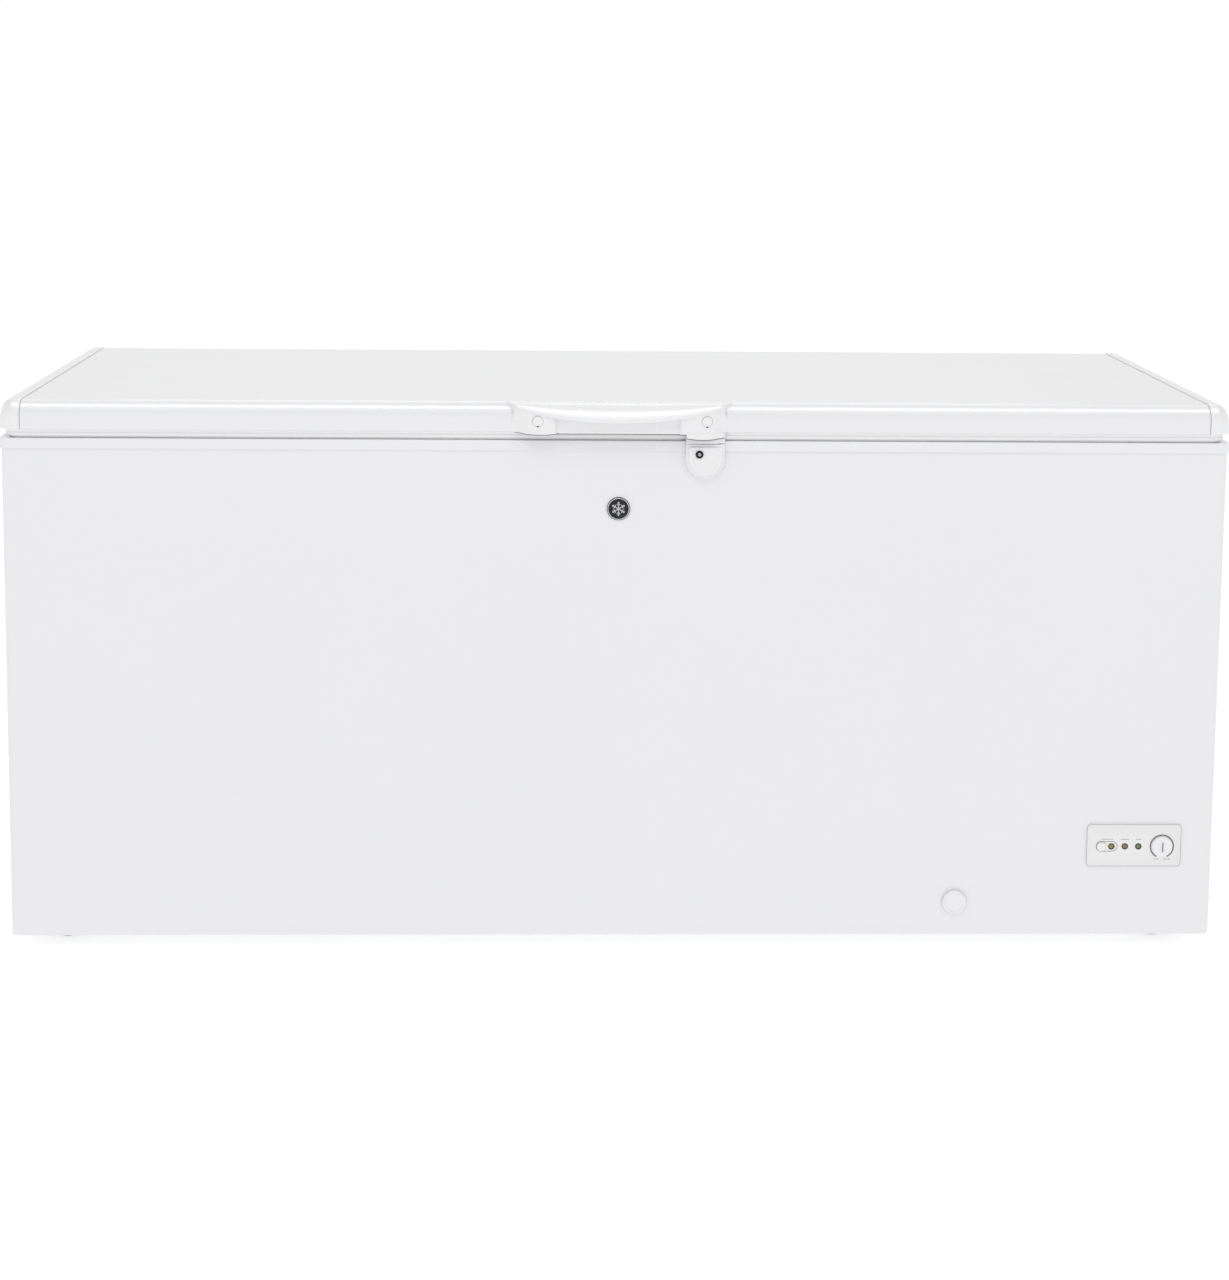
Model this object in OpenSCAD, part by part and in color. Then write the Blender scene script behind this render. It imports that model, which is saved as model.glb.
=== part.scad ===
// Chest freezer with a counterbalanced lid, hanging baskets and a front control panel.
// X runs to the right, Y to the back and Z up; the origin is on the floor under the middle.

/* [Cabinet] */
// Width of the cabinet shell
body_w = 1848; // [1780:2:1900]
// Depth of the cabinet shell
body_d = 690; // [670:2:710]
// Height of the collar's top above the floor
body_top = 792; // [780:1:820]
// Height of the feet
foot_h = 20; // [15:1:25]
// Thickness of the insulated walls and floor
wall = 70; // [60:1:75]
// Radius of the front vertical corners
corner_r = 10; // [8:1:14]
// Thickness of the steel sheet
sheet = 0.8; // [0.6:0.1:1]

/* [Collar] */
// How far the collar stands out from the shell
collar_out = 2.5; // [2.5:0.5:4]
// Height of the collar's skirt
collar_h = 16; // [12:1:20]
// Depth of the ledge that the baskets hang on
ledge = 18; // [16:1:20]

/* [Lid] */
// Width of the lid over its end caps
lid_w = 1854; // [1846:2:1856]
// Depth of the lid
lid_d = 700; // [696:1:704]
// Height of the lid above its lower edge
lid_h = 44; // [40:1:48]
// Radius of the lid's front edge
lid_front_r = 26; // [20:1:30]
// Radius of the lid's back edge
lid_back_r = 8; // [6:1:12]
// Width of each end cap
cap_w = 34; // [28:1:40]
// How far the end caps stand proud of the skin
cap_proud = 1.5; // [1:0.1:2]
// Height of the gap that the gasket fills
gasket_h = 14; // [12:1:16]

/* [Interior] */
// Width of the machine compartment
machine_w = 264; // [250:1:280]
// Height of the machine compartment's ceiling
machine_top = 290; // [280:1:310]
// Width of each basket
basket_w = 380; // [340:10:420]
// Depth of each basket below its rim
basket_drop = 190; // [150:5:220]

/* [Handle] */
// Width of the handle
handle_w = 340; // [320:2:360]
// How far the visor stands out from the lid
handle_out = 30; // [26:1:34]

/* [Front fittings] */
// Middle of the lock cover, from the centre line
lock_x = 129.6; // [120:0.1:140]
// Middle of the control panel, from the centre line
panel_x = 800.5; // [780:0.5:810]
// Height of the control panel's middle
panel_z = 164; // [150:1:180]
// Width of the control panel
panel_w = 147; // [140:1:150]
// Height of the control panel
panel_h = 67; // [60:1:72]
// Radius of the temperature dial
dial_r = 16.6; // [15:0.1:18]
// Height of the badge's middle
badge_z = 688; // [670:1:700]
// Middle of the drain cap, from the centre line
drain_x = 524.5; // [500:0.5:540]
// Height of the drain cap's middle
drain_z = 74; // [70:1:76]

/* [Hinges] */
// Distance of each hinge from the centre line
hinge_x = 600; // [500:5:640]
// Radius of the hinge pins
pin_r = 3; // [2.5:0.1:3.5]

/* [Hidden] */
$fn = 48;

white = [0.93, 0.93, 0.93];
grey = [0.7, 0.7, 0.7];

// Cabinet planes; the shell's middle lies behind the origin, as the handle reaches out in front
body_y = 8;
front = body_y - body_d/2;
back = body_y + body_d/2;
side = body_w/2;
bottom = foot_h;

// The space inside the liner
cav_w = body_w - 2*wall;
cav_front = front + wall;
cav_back = back - wall;
cav_d = cav_back - cav_front;
cav_y = (cav_front + cav_back)/2;
cav_floor = bottom + wall;
cav_r = 20;
liner_t = 1;

// Machine compartment at the right end, under a step in the liner
machine_x = side - machine_w;
step_x = machine_x - wall;
step_z = machine_top + wall;

// Collar
collar_t = 3;
collar_gap = 0.3;
collar_inset = 3;
ledge_z = body_top - 25.5;
ledge_t = 2.5;
opening_in = cav_w/2 - collar_inset;
collar_w = body_w + 2*collar_out;
collar_d = body_d + collar_out;
collar_y = body_y - collar_out/2;

// Lid planes
lid_y = 3;
lid_z = body_top + gasket_h;
lid_top = lid_z + lid_h;
lid_front = lid_y - lid_d/2;
lid_back = lid_y + lid_d/2;
skin_w = lid_w - 2*cap_w;
flange_w = 22;
seam_gap = 0.1;

// Gasket ring
gasket_in = 11;
gasket_w = 22;
seal_gap = 0.3;

// Hinge: the pin's axis runs along X at this place
pin_y = back + 11;
pin_z = lid_z;
ear_r = 8;
cam_r = 14;
cam_drop = 8;
cam_turn = 80;
plunger_gap = 1.3;
channel_w = 48;
channel_d = 24;
channel_low = 640;
channel_high = body_top - 4;
spring_low = 660;
spring_high = 755;
spring_r = 8;
spring_wire = 1.4;
spring_turns = 11;

// Lock
lock_w = 58.5;
lock_top = 785;
lock_low = 735;
lock_out = 12;
key_x = lock_x - 9;
key_z = 772.6;
key_r = 4;
barrel_r = 5.7;
tongue_low = 789;
cam_t = 2.5;
cam_front = front - 9;
hook_r = 24;
sill_z = 791.2;

// Control panel
fascia_t = 3;
fascia_r = 6.4;
lamp_z = panel_z - 1.5;
button_x = panel_x - 50.9;
button_r = 7;
lamp_r = 4;
lamp_xs = [for (k = [0:2]) panel_x - 34.8 + 20.95*k];
dial_x = panel_x + 43.7;
shaft_r = 3;
housing_w = panel_w - 16;
housing_h = panel_h - 13;
housing_d = 36;

// Drain: the tube bends up to the hole in the floor
drain_floor_y = front + 130;
drain_bend = 10;

// Compressor
comp_x = (machine_x + side)/2;
comp_y = 190;
comp_r = 80;
comp_feet = [for (sx = [-1, 1], sy = [-1, 1]) [comp_x + sx*88, comp_y + sy*62]];
pan_z = bottom + 1;
pan_t = 2;

// Rear cover
cover_x = comp_x;
cover_z = 165;
cover_w = 220;
cover_h = 210;
gland_z = bottom + 28;

// Baskets
basket_x = 636;
wire_r = 1.8;
rim_r = 2.6;
rim_z = ledge_z + rim_r + 0.3;
bend_r = 14;
basket_d = cav_d - 2*ledge - 10;
rail_y = basket_d/2 + 7.5;

// Where screws go, [x, y, z]
cover_screw_places = [for (sx = [-1, 1], sz = [-1, 1])
  [cover_x + sx*(cover_w/2 - 5), back, cover_z + sz*(cover_h/2 - 6)]];
hinge_screw_places = [for (s = [-1, 1], k = [-1, 1], z = [channel_low + 25, channel_high - 30])
  [s*hinge_x + k*(channel_w/2 + 9), back + sheet, z]];
leaf_screw_places = [for (s = [-1, 1], k = [-1, 1])
  [s*hinge_x + k*26, lid_back - cap_proud + 2, lid_z + lid_h/2]];
handle_screw_places = [[-122, 822], [131, 822]];

// Flat rectangle with round corners, centred
module rrect(w, d, r) {
  square([w - 2*r, d], center = true);
  square([w, d - 2*r], center = true);
  for (sx = [-1, 1], sy = [-1, 1]) translate([sx*(w/2 - r), sy*(d/2 - r)]) circle(r);
}

// Block that grows from x0 to x1 and so on
module block(x0, x1, y0, y1, z0, z1) {
  translate([x0, y0, z0]) cube([x1 - x0, y1 - y0, z1 - z0]);
}

// Round bar along Y from y0 to y1
module bar_y(x, z, r, y0, y1) {
  translate([x, y0, z]) rotate([-90, 0, 0]) cylinder(r = r, h = y1 - y0);
}

// Round bar along X from x0 to x1
module bar_x(y, z, r, x0, x1) {
  translate([x0, y, z]) rotate([0, 90, 0]) cylinder(r = r, h = x1 - x0);
}

// Pipe through corner points along the axes, with a round knuckle at each corner
module pipe(points, r) {
  for (i = [0:len(points) - 2]) {
    run = points[i + 1] - points[i];
    translate(points[i])
      rotate([0, acos(run.z/norm(run)), atan2(run.y, run.x)])
      cylinder(r = r, h = norm(run));
  }
  for (i = [1:len(points) - 2]) translate(points[i]) sphere(r = r*1.15);
}

// Pan-head screw along Y, with its head on the plane y
module screw_y(place, r, head_r, head_h, length) {
  translate(place) rotate([90, 0, 0]) difference() {
    union() {
      cylinder(r = head_r, h = head_h);
      translate([0, 0, -length]) cylinder(r = r, h = length + 0.5);
    }
    for (a = [0, 90]) rotate([0, 0, a]) translate([-head_r*0.6, -0.5, head_h - 1])
      cube([head_r*1.2, 1, 2]);
  }
}

// The outside of the shell in plan, shrunk by inset, with its front corners round
module shell_plan(inset) {
  w = body_w - 2*inset;
  r = corner_r - inset;
  translate([0, front + inset]) {
    translate([-w/2, r]) square([w, body_d - sheet - inset - r]);
    translate([-w/2 + r, 0]) square([w - 2*r, r + 1]);
    for (s = [-1, 1]) translate([s*(w/2 - r), r]) circle(r);
  }
}

module outer_wrapper() {
  color(white) difference() {
    translate([0, 0, bottom]) linear_extrude(body_top - collar_t - bottom - 1) shell_plan(0);
    translate([0, 0, bottom + sheet]) linear_extrude(body_top) shell_plan(sheet);
    block(-side + 20, side - 20, front + 20, back, bottom - 1, bottom + 2);
    block(-side + sheet, side - sheet, back - 2*sheet, back, bottom - 1, body_top);
    block(panel_x - housing_w/2 + 2, panel_x + housing_w/2 - 2, front - 1, front + 2,
      panel_z - housing_h/2 + 2, panel_z + housing_h/2 - 2);
    bar_y(drain_x, drain_z, 12.2, front - 1, front + 2);
    block(side - 2, side + 1, -140, 140, 92, 248);
  }
}

module back_panel() {
  color(grey) difference() {
    block(-side, side, back - sheet, back, bottom, body_top - collar_t);
    block(cover_x - cover_w/2 + 12, cover_x + cover_w/2 - 12, back - 2, back + 1,
      cover_z - cover_h/2 + 12, cover_z + cover_h/2 - 12);
    bar_y(comp_x, gland_z, 7.2, back - 2, back + 1);
    for (p = hinge_screw_places) bar_y(p.x, p.z, 2.1, back - 2, back + 1);
    for (p = cover_screw_places) bar_y(p.x, p.z, 2.1, back - 2, back + 1);
  }
}

module bottom_panel() {
  color(grey) translate([0, 0, bottom + sheet]) linear_extrude(sheet) intersection() {
    shell_plan(sheet);
    translate([-side, front]) square([side + machine_x, body_d]);
  }
}

module base_pan() {
  x0 = machine_x;
  x1 = side - sheet;
  y0 = front + sheet;
  y1 = back - sheet;
  color(grey) difference() {
    translate([0, 0, bottom + sheet]) linear_extrude(14 - sheet) intersection() {
      shell_plan(sheet);
      translate([x0, y0]) square([x1 - x0, y1 - y0]);
    }
    block(x0 + pan_t, x1 - pan_t, y0 + pan_t, y1 - pan_t, pan_z + pan_t, bottom + 20);
    for (p = comp_feet) translate([p.x, p.y, bottom - 1]) cylinder(r = 4.1, h = 6);
  }
}

module feet() {
  color([0.12, 0.12, 0.12]) for (sx = [-1, 1], y = [front + 75, back - 75])
    translate([sx*(side - 75), y, 0]) {
      cylinder(r1 = 21, r2 = 24, h = 5);
      translate([0, 0, 4.5]) cylinder(r = 22, h = bottom + sheet - 4.5);
    }
}

// The liner's outline, grown outward by grow
module cavity(grow) {
  difference() {
    translate([0, cav_y, cav_floor - grow]) linear_extrude(body_top)
      rrect(cav_w + 2*grow, cav_d + 2*grow, cav_r + grow);
    block(step_x + grow, side, front, back, bottom, step_z - grow);
  }
}

// Levels of the evaporator tube and of the condenser tube
evap_levels = [for (k = [0:4]) step_z + 60 + 70*k];
cond_levels = [for (k = [0:5]) step_z - 90 + 70*k];
tube_r = 4;
cond_r = 2.4;
cond_y = front + sheet + cond_r + 0.5;
cond_x0 = -side + 60;
cond_x1 = machine_x - 60;

module foam_insulation() {
  color([0.95, 0.9, 0.7]) difference() {
    translate([0, 0, bottom + 2*sheet])
      linear_extrude(body_top - collar_h - bottom - 2*sheet) shell_plan(sheet);
    for (p = hinge_screw_places) bar_y(p.x, p.z, 2.1, back - 12, back);
    cavity(liner_t);
    block(machine_x, side, front, back, bottom, machine_top);
    for (z = evap_levels) translate([0, cav_y, z - 5]) linear_extrude(10) difference() {
      rrect(cav_w + 22, cav_d + 22, cav_r + 11);
      rrect(cav_w, cav_d, cav_r);
    }
    block(-5, 5, cav_front - 11, cav_front, evap_levels[0], evap_levels[4]);
    block(700, 712, cav_back, cav_back + 12, machine_top - 1, evap_levels[0]);
    for (z = cond_levels) block(cond_x0 - 45, cond_x1 + 45, front, front + 10, z - 5, z + 5);
    block(cond_x0 - 45, cond_x0, front, front + 10, cond_levels[0], cond_levels[5]);
    block(cond_x1, cond_x1 + 45, front, front + 10, cond_levels[0], cond_levels[5]);
    block(cond_x1, side, front, front + 10, cond_levels[0] - 5, cond_levels[0] + 5);
    block(drain_x - 14, drain_x + 14, front, front + 150, bottom, cav_floor);
  }
}

module inner_liner() {
  color(white) difference() {
    intersection() {
      cavity(liner_t);
      block(-side, side, front, back, 0, body_top - collar_t - 1);
    }
    cavity(0);
    translate([drain_x, drain_floor_y, 0]) cylinder(r = 9.2, h = cav_floor + 5);
  }
}

module top_collar() {
  color(white) difference() {
    union() {
      translate([0, collar_y, body_top - collar_h]) linear_extrude(collar_h)
        rrect(collar_w, collar_d, corner_r + collar_out);
      translate([0, cav_y, ledge_z - ledge_t]) linear_extrude(body_top - ledge_z)
        rrect(cav_w - 2*collar_gap, cav_d - 2*collar_gap, cav_r);
    }
    translate([0, cav_y, ledge_z]) linear_extrude(body_top)
      rrect(2*opening_in, cav_d - 2*collar_inset, cav_r - collar_inset);
    translate([0, cav_y, ledge_z - 10]) linear_extrude(body_top)
      rrect(cav_w - 2*ledge, cav_d - 2*ledge, cav_r);
    difference() {
      translate([0, 0, 0]) linear_extrude(body_top - collar_t) shell_plan(-collar_gap);
      translate([0, cav_y, 0]) linear_extrude(body_top)
        rrect(cav_w - 2*collar_gap, cav_d - 2*collar_gap, cav_r);
    }
    block(-side - 9, side + 9, back - 2*sheet, back + 9, 0, body_top - collar_t);
  }
}

module condenser_coil() {
  pitch = cond_levels[1] - cond_levels[0];
  color([0.3, 0.3, 0.3]) {
    for (k = [0:5]) bar_x(cond_y, cond_levels[k], cond_r, cond_x0, k == 0 ? machine_x + 8 : cond_x1);
    for (k = [0:4]) {
      s = k % 2 == 0 ? -1 : 1;
      translate([s < 0 ? cond_x0 : cond_x1, cond_y, cond_levels[k] + pitch/2])
        rotate([90, 0, 0]) rotate([0, 0, s < 0 ? 90 : -90])
        rotate_extrude(angle = 180) translate([pitch/2, 0]) circle(cond_r);
    }
  }
}

module evaporator_coil() {
  w = cav_w + 2*(liner_t + tube_r + 0.2);
  d = cav_d + 2*(liner_t + tube_r + 0.2);
  r = cav_r + liner_t + tube_r + 0.2;
  color([0.72, 0.45, 0.3]) {
    for (z = evap_levels) translate([0, cav_y, z]) {
      for (s = [-1, 1]) {
        translate([-w/2 + r, s*d/2, 0]) rotate([0, 90, 0]) cylinder(r = tube_r, h = w - 2*r);
        translate([s*w/2, -d/2 + r, 0]) rotate([-90, 0, 0]) cylinder(r = tube_r, h = d - 2*r);
      }
      for (i = [0:3]) {
        sx = (i == 0 || i == 3) ? 1 : -1;
        sy = i < 2 ? 1 : -1;
        translate([sx*(w/2 - r), sy*(d/2 - r), 0]) rotate([0, 0, 90*i])
          rotate_extrude(angle = 90) translate([r, 0]) circle(tube_r);
      }
    }
    translate([0, cav_y - d/2, evap_levels[0]]) cylinder(r = 3, h = evap_levels[4] - evap_levels[0]);
    translate([706, cav_y + d/2, machine_top - 12])
      cylinder(r = 3, h = evap_levels[0] - machine_top + 12);
  }
}

module compressor() {
  color([0.08, 0.08, 0.08]) translate([comp_x, comp_y, 0]) {
    rotate_extrude() polygon([
      [0, 39], [55, 39], [66, 46], [75, 54], [comp_r, 66], [comp_r, 128], [comp_r + 4, 128],
      [comp_r + 4, 134], [comp_r, 134], [comp_r, 170], [74, 190], [60, 204], [36, 213], [0, 216]]);
    difference() {
      translate([0, 0, pan_z + 15]) linear_extrude(4) rrect(206, 152, 16);
      for (sx = [-1, 1], sy = [-1, 1]) translate([sx*88, sy*62, 0]) cylinder(r = 6.2, h = 60);
    }
  }
}

module compressor_grommets() {
  color([0.15, 0.15, 0.15]) for (p = comp_feet) translate([p.x, p.y, pan_z + pan_t])
    difference() {
      union() {
        cylinder(r = 13, h = 13);
        cylinder(r = 6, h = 19.5);
        translate([0, 0, 17.2]) cylinder(r = 9, h = 4);
      }
      translate([0, 0, -1]) cylinder(r = 4.3, h = 40);
    }
}

module compressor_bolts() {
  color(grey) for (p = comp_feet) translate([p.x, p.y, 0]) {
    translate([0, 0, bottom + sheet]) cylinder(r = 4, h = 28);
    translate([0, 0, pan_z + pan_t + 21.3]) cylinder(r = 7.5, h = 5, $fn = 6);
  }
}

module relay_cover() {
  color([0.1, 0.1, 0.1]) difference() {
    block(comp_x - 32, comp_x + 32, comp_y - comp_r - 36, comp_y - comp_r + 14, 72, 124);
    translate([comp_x, comp_y, 0]) cylinder(r = comp_r + 0.3, h = 300);
  }
}

module filter_drier() {
  color([0.75, 0.47, 0.3]) translate([machine_x + 40, 40, 110]) rotate_extrude()
    polygon([[0, 0], [4, 0], [4, 8], [10, 20], [10, 100], [4, 112], [4, 120], [0, 120]]);
}

module refrigerant_tubes() {
  color([0.75, 0.47, 0.3]) {
    pipe([[machine_x + 40, 40, 110], [machine_x + 40, 40, 70], [machine_x + 40, front + 60, 70],
      [machine_x + 40, front + 60, cond_levels[0]], [machine_x + 40, cond_y, cond_levels[0]],
      [machine_x + 8, cond_y, cond_levels[0]]], 2.4);
    pipe([[machine_x + 40, 40, 230], [machine_x + 40, 40, 260], [706, 40, 260],
      [706, cav_y + cav_d/2 + liner_t + tube_r, 260],
      [706, cav_y + cav_d/2 + liner_t + tube_r, machine_top - 12]], 2.4);
    pipe([[comp_x - comp_r, comp_y, 150], [comp_x - comp_r - 18, comp_y, 150],
      [comp_x - comp_r - 18, comp_y, 270], [comp_x - comp_r - 18, comp_y, machine_top]], 4);
  }
}

// Rows of slots that a vented plate lets air through, in the XZ plane
module slots(w, rows, pitch, slot_h, cols) {
  cell = w/cols;
  for (i = [0:cols - 1], k = [0:rows - 1])
    translate([-w/2 + cell*(i + 0.5), 0, (k - (rows - 1)/2)*pitch])
      cube([cell - 12, 12, slot_h], center = true);
}

module rear_cover() {
  color(grey) difference() {
    union() {
      block(cover_x - cover_w/2, cover_x + cover_w/2, back, back + 1.2,
        cover_z - cover_h/2, cover_z + cover_h/2);
      block(cover_x - cover_w/2 + 18, cover_x + cover_w/2 - 18, back, back + 8,
        cover_z - cover_h/2 + 18, cover_z + cover_h/2 - 18);
    }
    block(cover_x - cover_w/2 + 19.2, cover_x + cover_w/2 - 19.2, back - 1, back + 6.8,
      cover_z - cover_h/2 + 19.2, cover_z + cover_h/2 - 19.2);
    translate([cover_x, back + 8, cover_z]) slots(cover_w - 44, 11, 14, 5, 3);
    for (p = cover_screw_places) bar_y(p.x, p.z, 2.1, back - 2, back + 3);
  }
}

module side_grille() {
  color(white) difference() {
    union() {
      block(side, side + 1.6, -150, 150, 82, 258);
      block(side, side + 3, -138, 138, 94, 246);
    }
    block(side - 1, side + 1.4, -134, 134, 98, 242);
    translate([side + 2, 0, 170]) rotate([0, 0, 90]) slots(256, 10, 13.5, 6, 4);
  }
}

module cover_screws() {
  color(grey) for (p = cover_screw_places)
    rotate([0, 0, 180]) screw_y([-p.x, -p.y - 1.2, p.z], 2, 4, 2, 9);
}

module cord_gland() {
  color([0.1, 0.1, 0.1]) difference() {
    union() {
      bar_y(comp_x, gland_z, 7, back - 9, back + 9);
      bar_y(comp_x, gland_z, 11, back, back + 3);
      bar_y(comp_x, gland_z, 9.5, back - 5, back - sheet);
    }
    bar_y(comp_x, gland_z, 4.1, back - 20, back + 20);
  }
}

module control_fascia() {
  color([0.91, 0.91, 0.91]) difference() {
    union() {
      translate([panel_x, front, panel_z]) rotate([90, 0, 0]) linear_extrude(fascia_t)
        rrect(panel_w, panel_h, fascia_r);
      translate([button_x + 8.7, front - fascia_t + 0.5, lamp_z]) rotate([90, 0, 0])
        linear_extrude(1.5) difference() {
          rrect(33.2, 16.3, 8.1);
          rrect(30.8, 13.9, 6.9);
        }
    }
    bar_y(button_x, lamp_z, button_r + 0.3, front - 9, front + 1);
    for (x = lamp_xs) bar_y(x, lamp_z, lamp_r + 0.2, front - 9, front + 1);
    bar_y(dial_x, lamp_z, shaft_r + 0.4, front - 9, front + 1);
  }
}

module control_housing() {
  color([0.85, 0.85, 0.85]) difference() {
    block(panel_x - housing_w/2, panel_x + housing_w/2, front + sheet, front + housing_d,
      panel_z - housing_h/2, panel_z + housing_h/2);
    block(panel_x - housing_w/2 + 2, panel_x + housing_w/2 - 2, front, front + housing_d - 2,
      panel_z - housing_h/2 + 2, panel_z + housing_h/2 - 2);
  }
}

module control_board() {
  color([0.1, 0.4, 0.2]) {
    block(panel_x - housing_w/2 + 3, dial_x - 22, front + 20, front + 21.6, panel_z - 21, panel_z + 21);
    for (sx = [panel_x - housing_w/2 + 7, dial_x - 26], sz = [-17, 17])
      bar_y(sx, panel_z + sz, 2.5, front + 21.6, front + housing_d - 2);
  }
}

module thermostat() {
  color([0.75, 0.75, 0.75]) difference() {
    block(dial_x - 16, dial_x + 16, front + 5, front + housing_d - 2, panel_z - 20, panel_z + 20);
    bar_y(dial_x, lamp_z, shaft_r + 0.3, front, front + 15);
  }
}

// Domed lamp lens that ends in front of the circuit board
module lamp(k, tint) {
  color(tint) {
    bar_y(lamp_xs[k], lamp_z, lamp_r, front - fascia_t - 0.6, front + 6);
    bar_y(lamp_xs[k], lamp_z, 2.4, front + 6, front + 20);
  }
}

module alarm_led() { lamp(0, [0.5, 0.45, 0.25]); }

module temperature_led() { lamp(1, [0.85, 0.5, 0.1]); }

module power_led() { lamp(2, [0.2, 0.7, 0.3]); }

module badge_ring() {
  color([0.8, 0.8, 0.82]) translate([0, front, badge_z]) rotate([90, 0, 0]) difference() {
    cylinder(r1 = 17.5, r2 = 16.6, h = 3);
    translate([0, 0, -1]) cylinder(r = 15, h = 6);
  }
}

module badge_disc() {
  color([0.1, 0.12, 0.2]) bar_y(0, badge_z, 14.9, front - 2.2, front);
}

// Shield shape of the lock cover: a half round below a square top
module shield(w, top = lock_top) {
  intersection() {
    circle(w/2);
    translate([-w, -w]) square([2*w, w + 1]);
  }
  translate([-w/2, 0]) square([w, top - lock_low - lock_w/2]);
}

module lock_cover() {
  z0 = lock_low + lock_w/2;
  color(white) difference() {
    union() {
      translate([lock_x, front, z0]) rotate([90, 0, 0]) linear_extrude(lock_out - 3) shield(lock_w);
      translate([lock_x, front, z0]) rotate([90, 0, 0]) linear_extrude(lock_out) shield(lock_w - 8);
    }
    translate([lock_x, front - 2, z0]) rotate([90, 0, 0]) linear_extrude(lock_out - 4)
      shield(lock_w - 14, lock_top + 1);
    block(lock_x - 40, lock_x + 40, front - collar_out - 0.4, front + 1,
      body_top - collar_h - 0.4, body_top);
    bar_y(key_x, key_z, barrel_r + 0.3, front - lock_out - 1, front + 1);
  }
}

module lock_barrel() {
  color([0.08, 0.08, 0.08]) difference() {
    union() {
      bar_y(key_x, key_z, barrel_r, front - lock_out - 1.2, cam_front - 0.4);
      bar_y(key_x, key_z, 3.2, cam_front + cam_t + 0.4, front);
    }
    bar_y(key_x, key_z, key_r + 0.05, front - 30, cam_front);
    bar_y(key_x, key_z, 2.05, front - 30, front - 1);
  }
}

module lock_plug() {
  color([0.6, 0.6, 0.62]) difference() {
    union() {
      bar_y(key_x, key_z, key_r, front - lock_out - 0.8, cam_front + cam_t + 0.2);
      bar_y(key_x, key_z, 2, cam_front, front - 1.2);
    }
    block(key_x - 2.4, key_x + 2.4, front - 20, front - lock_out + 1.5, key_z - 0.5, key_z + 0.5);
    for (s = [-1, 1]) translate([key_x, cam_front + cam_t/2, key_z + s*4.5])
      cube([10, cam_t, 5], center = true);
  }
}

// Hook that turns up out of the cover and in over the latch's sill
module lock_cam() {
  color(grey) translate([key_x, cam_front + cam_t, key_z]) rotate([90, 0, 0])
    linear_extrude(cam_t) difference() {
      union() {
        circle(5.4);
        translate([0, -3]) square([hook_r, 6]);
        intersection() {
          difference() {
            circle(hook_r);
            circle(hook_r - 4);
          }
          polygon([[0, 0], [30, -5], [30, 30*tan(18)]]);
        }
      }
      square([9.9, 4], center = true);
    }
}

module drain_outlet() {
  color([0.9, 0.9, 0.9]) difference() {
    union() {
      bar_y(drain_x, drain_z, 12, front, front + 36);
      bar_y(drain_x, drain_z, 17, front - 1.6, front);
    }
    bar_y(drain_x, drain_z, 9, front - 5, front + 40);
  }
}

module drain_tube() {
  color([0.85, 0.85, 0.85]) difference() {
    drain_run(8.8);
    drain_run(6.8);
  }
}

// The drain's way from its outlet back and up to the floor, as a solid of radius r
module drain_run(r) {
  bar_y(drain_x, drain_z, r, front + 20, drain_floor_y - drain_bend);
  translate([drain_x, drain_floor_y - drain_bend, drain_z + drain_bend]) rotate([0, 90, 0])
    rotate_extrude(angle = 90) translate([drain_bend, 0]) circle(r);
  translate([drain_x, drain_floor_y, drain_z + drain_bend])
    cylinder(r = r, h = cav_floor - drain_z - drain_bend);
}

module drain_cap() {
  color(white) {
    bar_y(drain_x, drain_z, 18.5, front - 5, front - 2);
    bar_y(drain_x, drain_z, 16.5, front - 6.4, front - 4.5);
    bar_y(drain_x, drain_z, 8.6, front - 2.5, front + 16);
  }
}

module drain_stopper() {
  color([0.9, 0.9, 0.9]) translate([drain_x, drain_floor_y, cav_floor]) {
    translate([0, 0, 0.3]) cylinder(r = 15, h = 3);
    translate([0, 0, -9]) cylinder(r = 6.4, h = 10);
    translate([0, 0, 3]) cylinder(r = 4, h = 8);
    translate([0, 0, 10]) cylinder(r = 7, h = 3);
  }
}

// Hinge ---------------------------------------------------------------

module each_hinge() {
  for (s = [-1, 1]) translate([s*hinge_x, 0, 0]) children();
}

module hinge_bases() {
  color(grey) each_hinge() difference() {
    union() {
      block(-channel_w/2 - 18, channel_w/2 + 18, back, back + sheet, channel_low, channel_high);
      for (s = [-1, 1]) translate([s*(channel_w/2 - 1) - 1, 0, 0]) {
        block(0, 2, back + sheet/2, back + channel_d - 1, channel_low, channel_high - 6);
        block(0, 2, pin_y - ear_r, pin_y + ear_r, channel_high - 10, pin_z);
        bar_x(pin_y, pin_z, ear_r, 0, 2);
      }
      block(-channel_w/2, channel_w/2, back + channel_d - 2, back + channel_d, channel_low,
        channel_high - 40);
      block(-channel_w/2 + 1, channel_w/2 - 1, back + sheet/2, back + channel_d - 1,
        spring_low - 4, spring_low - 2);
    }
    bar_x(pin_y, pin_z, pin_r + 0.05, -channel_w, channel_w);
    for (s = [-1, 1], z = [channel_low + 25, channel_high - 30])
      bar_y(s*(channel_w/2 + 9), z, 2.1, back - 2, back + 3);
  }
}

module hinge_pins() {
  color([0.75, 0.75, 0.78]) each_hinge() {
    bar_x(pin_y, pin_z, pin_r, -channel_w/2 - 2, channel_w/2 + 2);
    bar_x(pin_y, pin_z, pin_r + 2.5, -channel_w/2 - 4, -channel_w/2 - 1.8);
    bar_x(pin_y, pin_z, pin_r + 2, channel_w/2 + 0.4, channel_w/2 + 1.8);
  }
}

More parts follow.
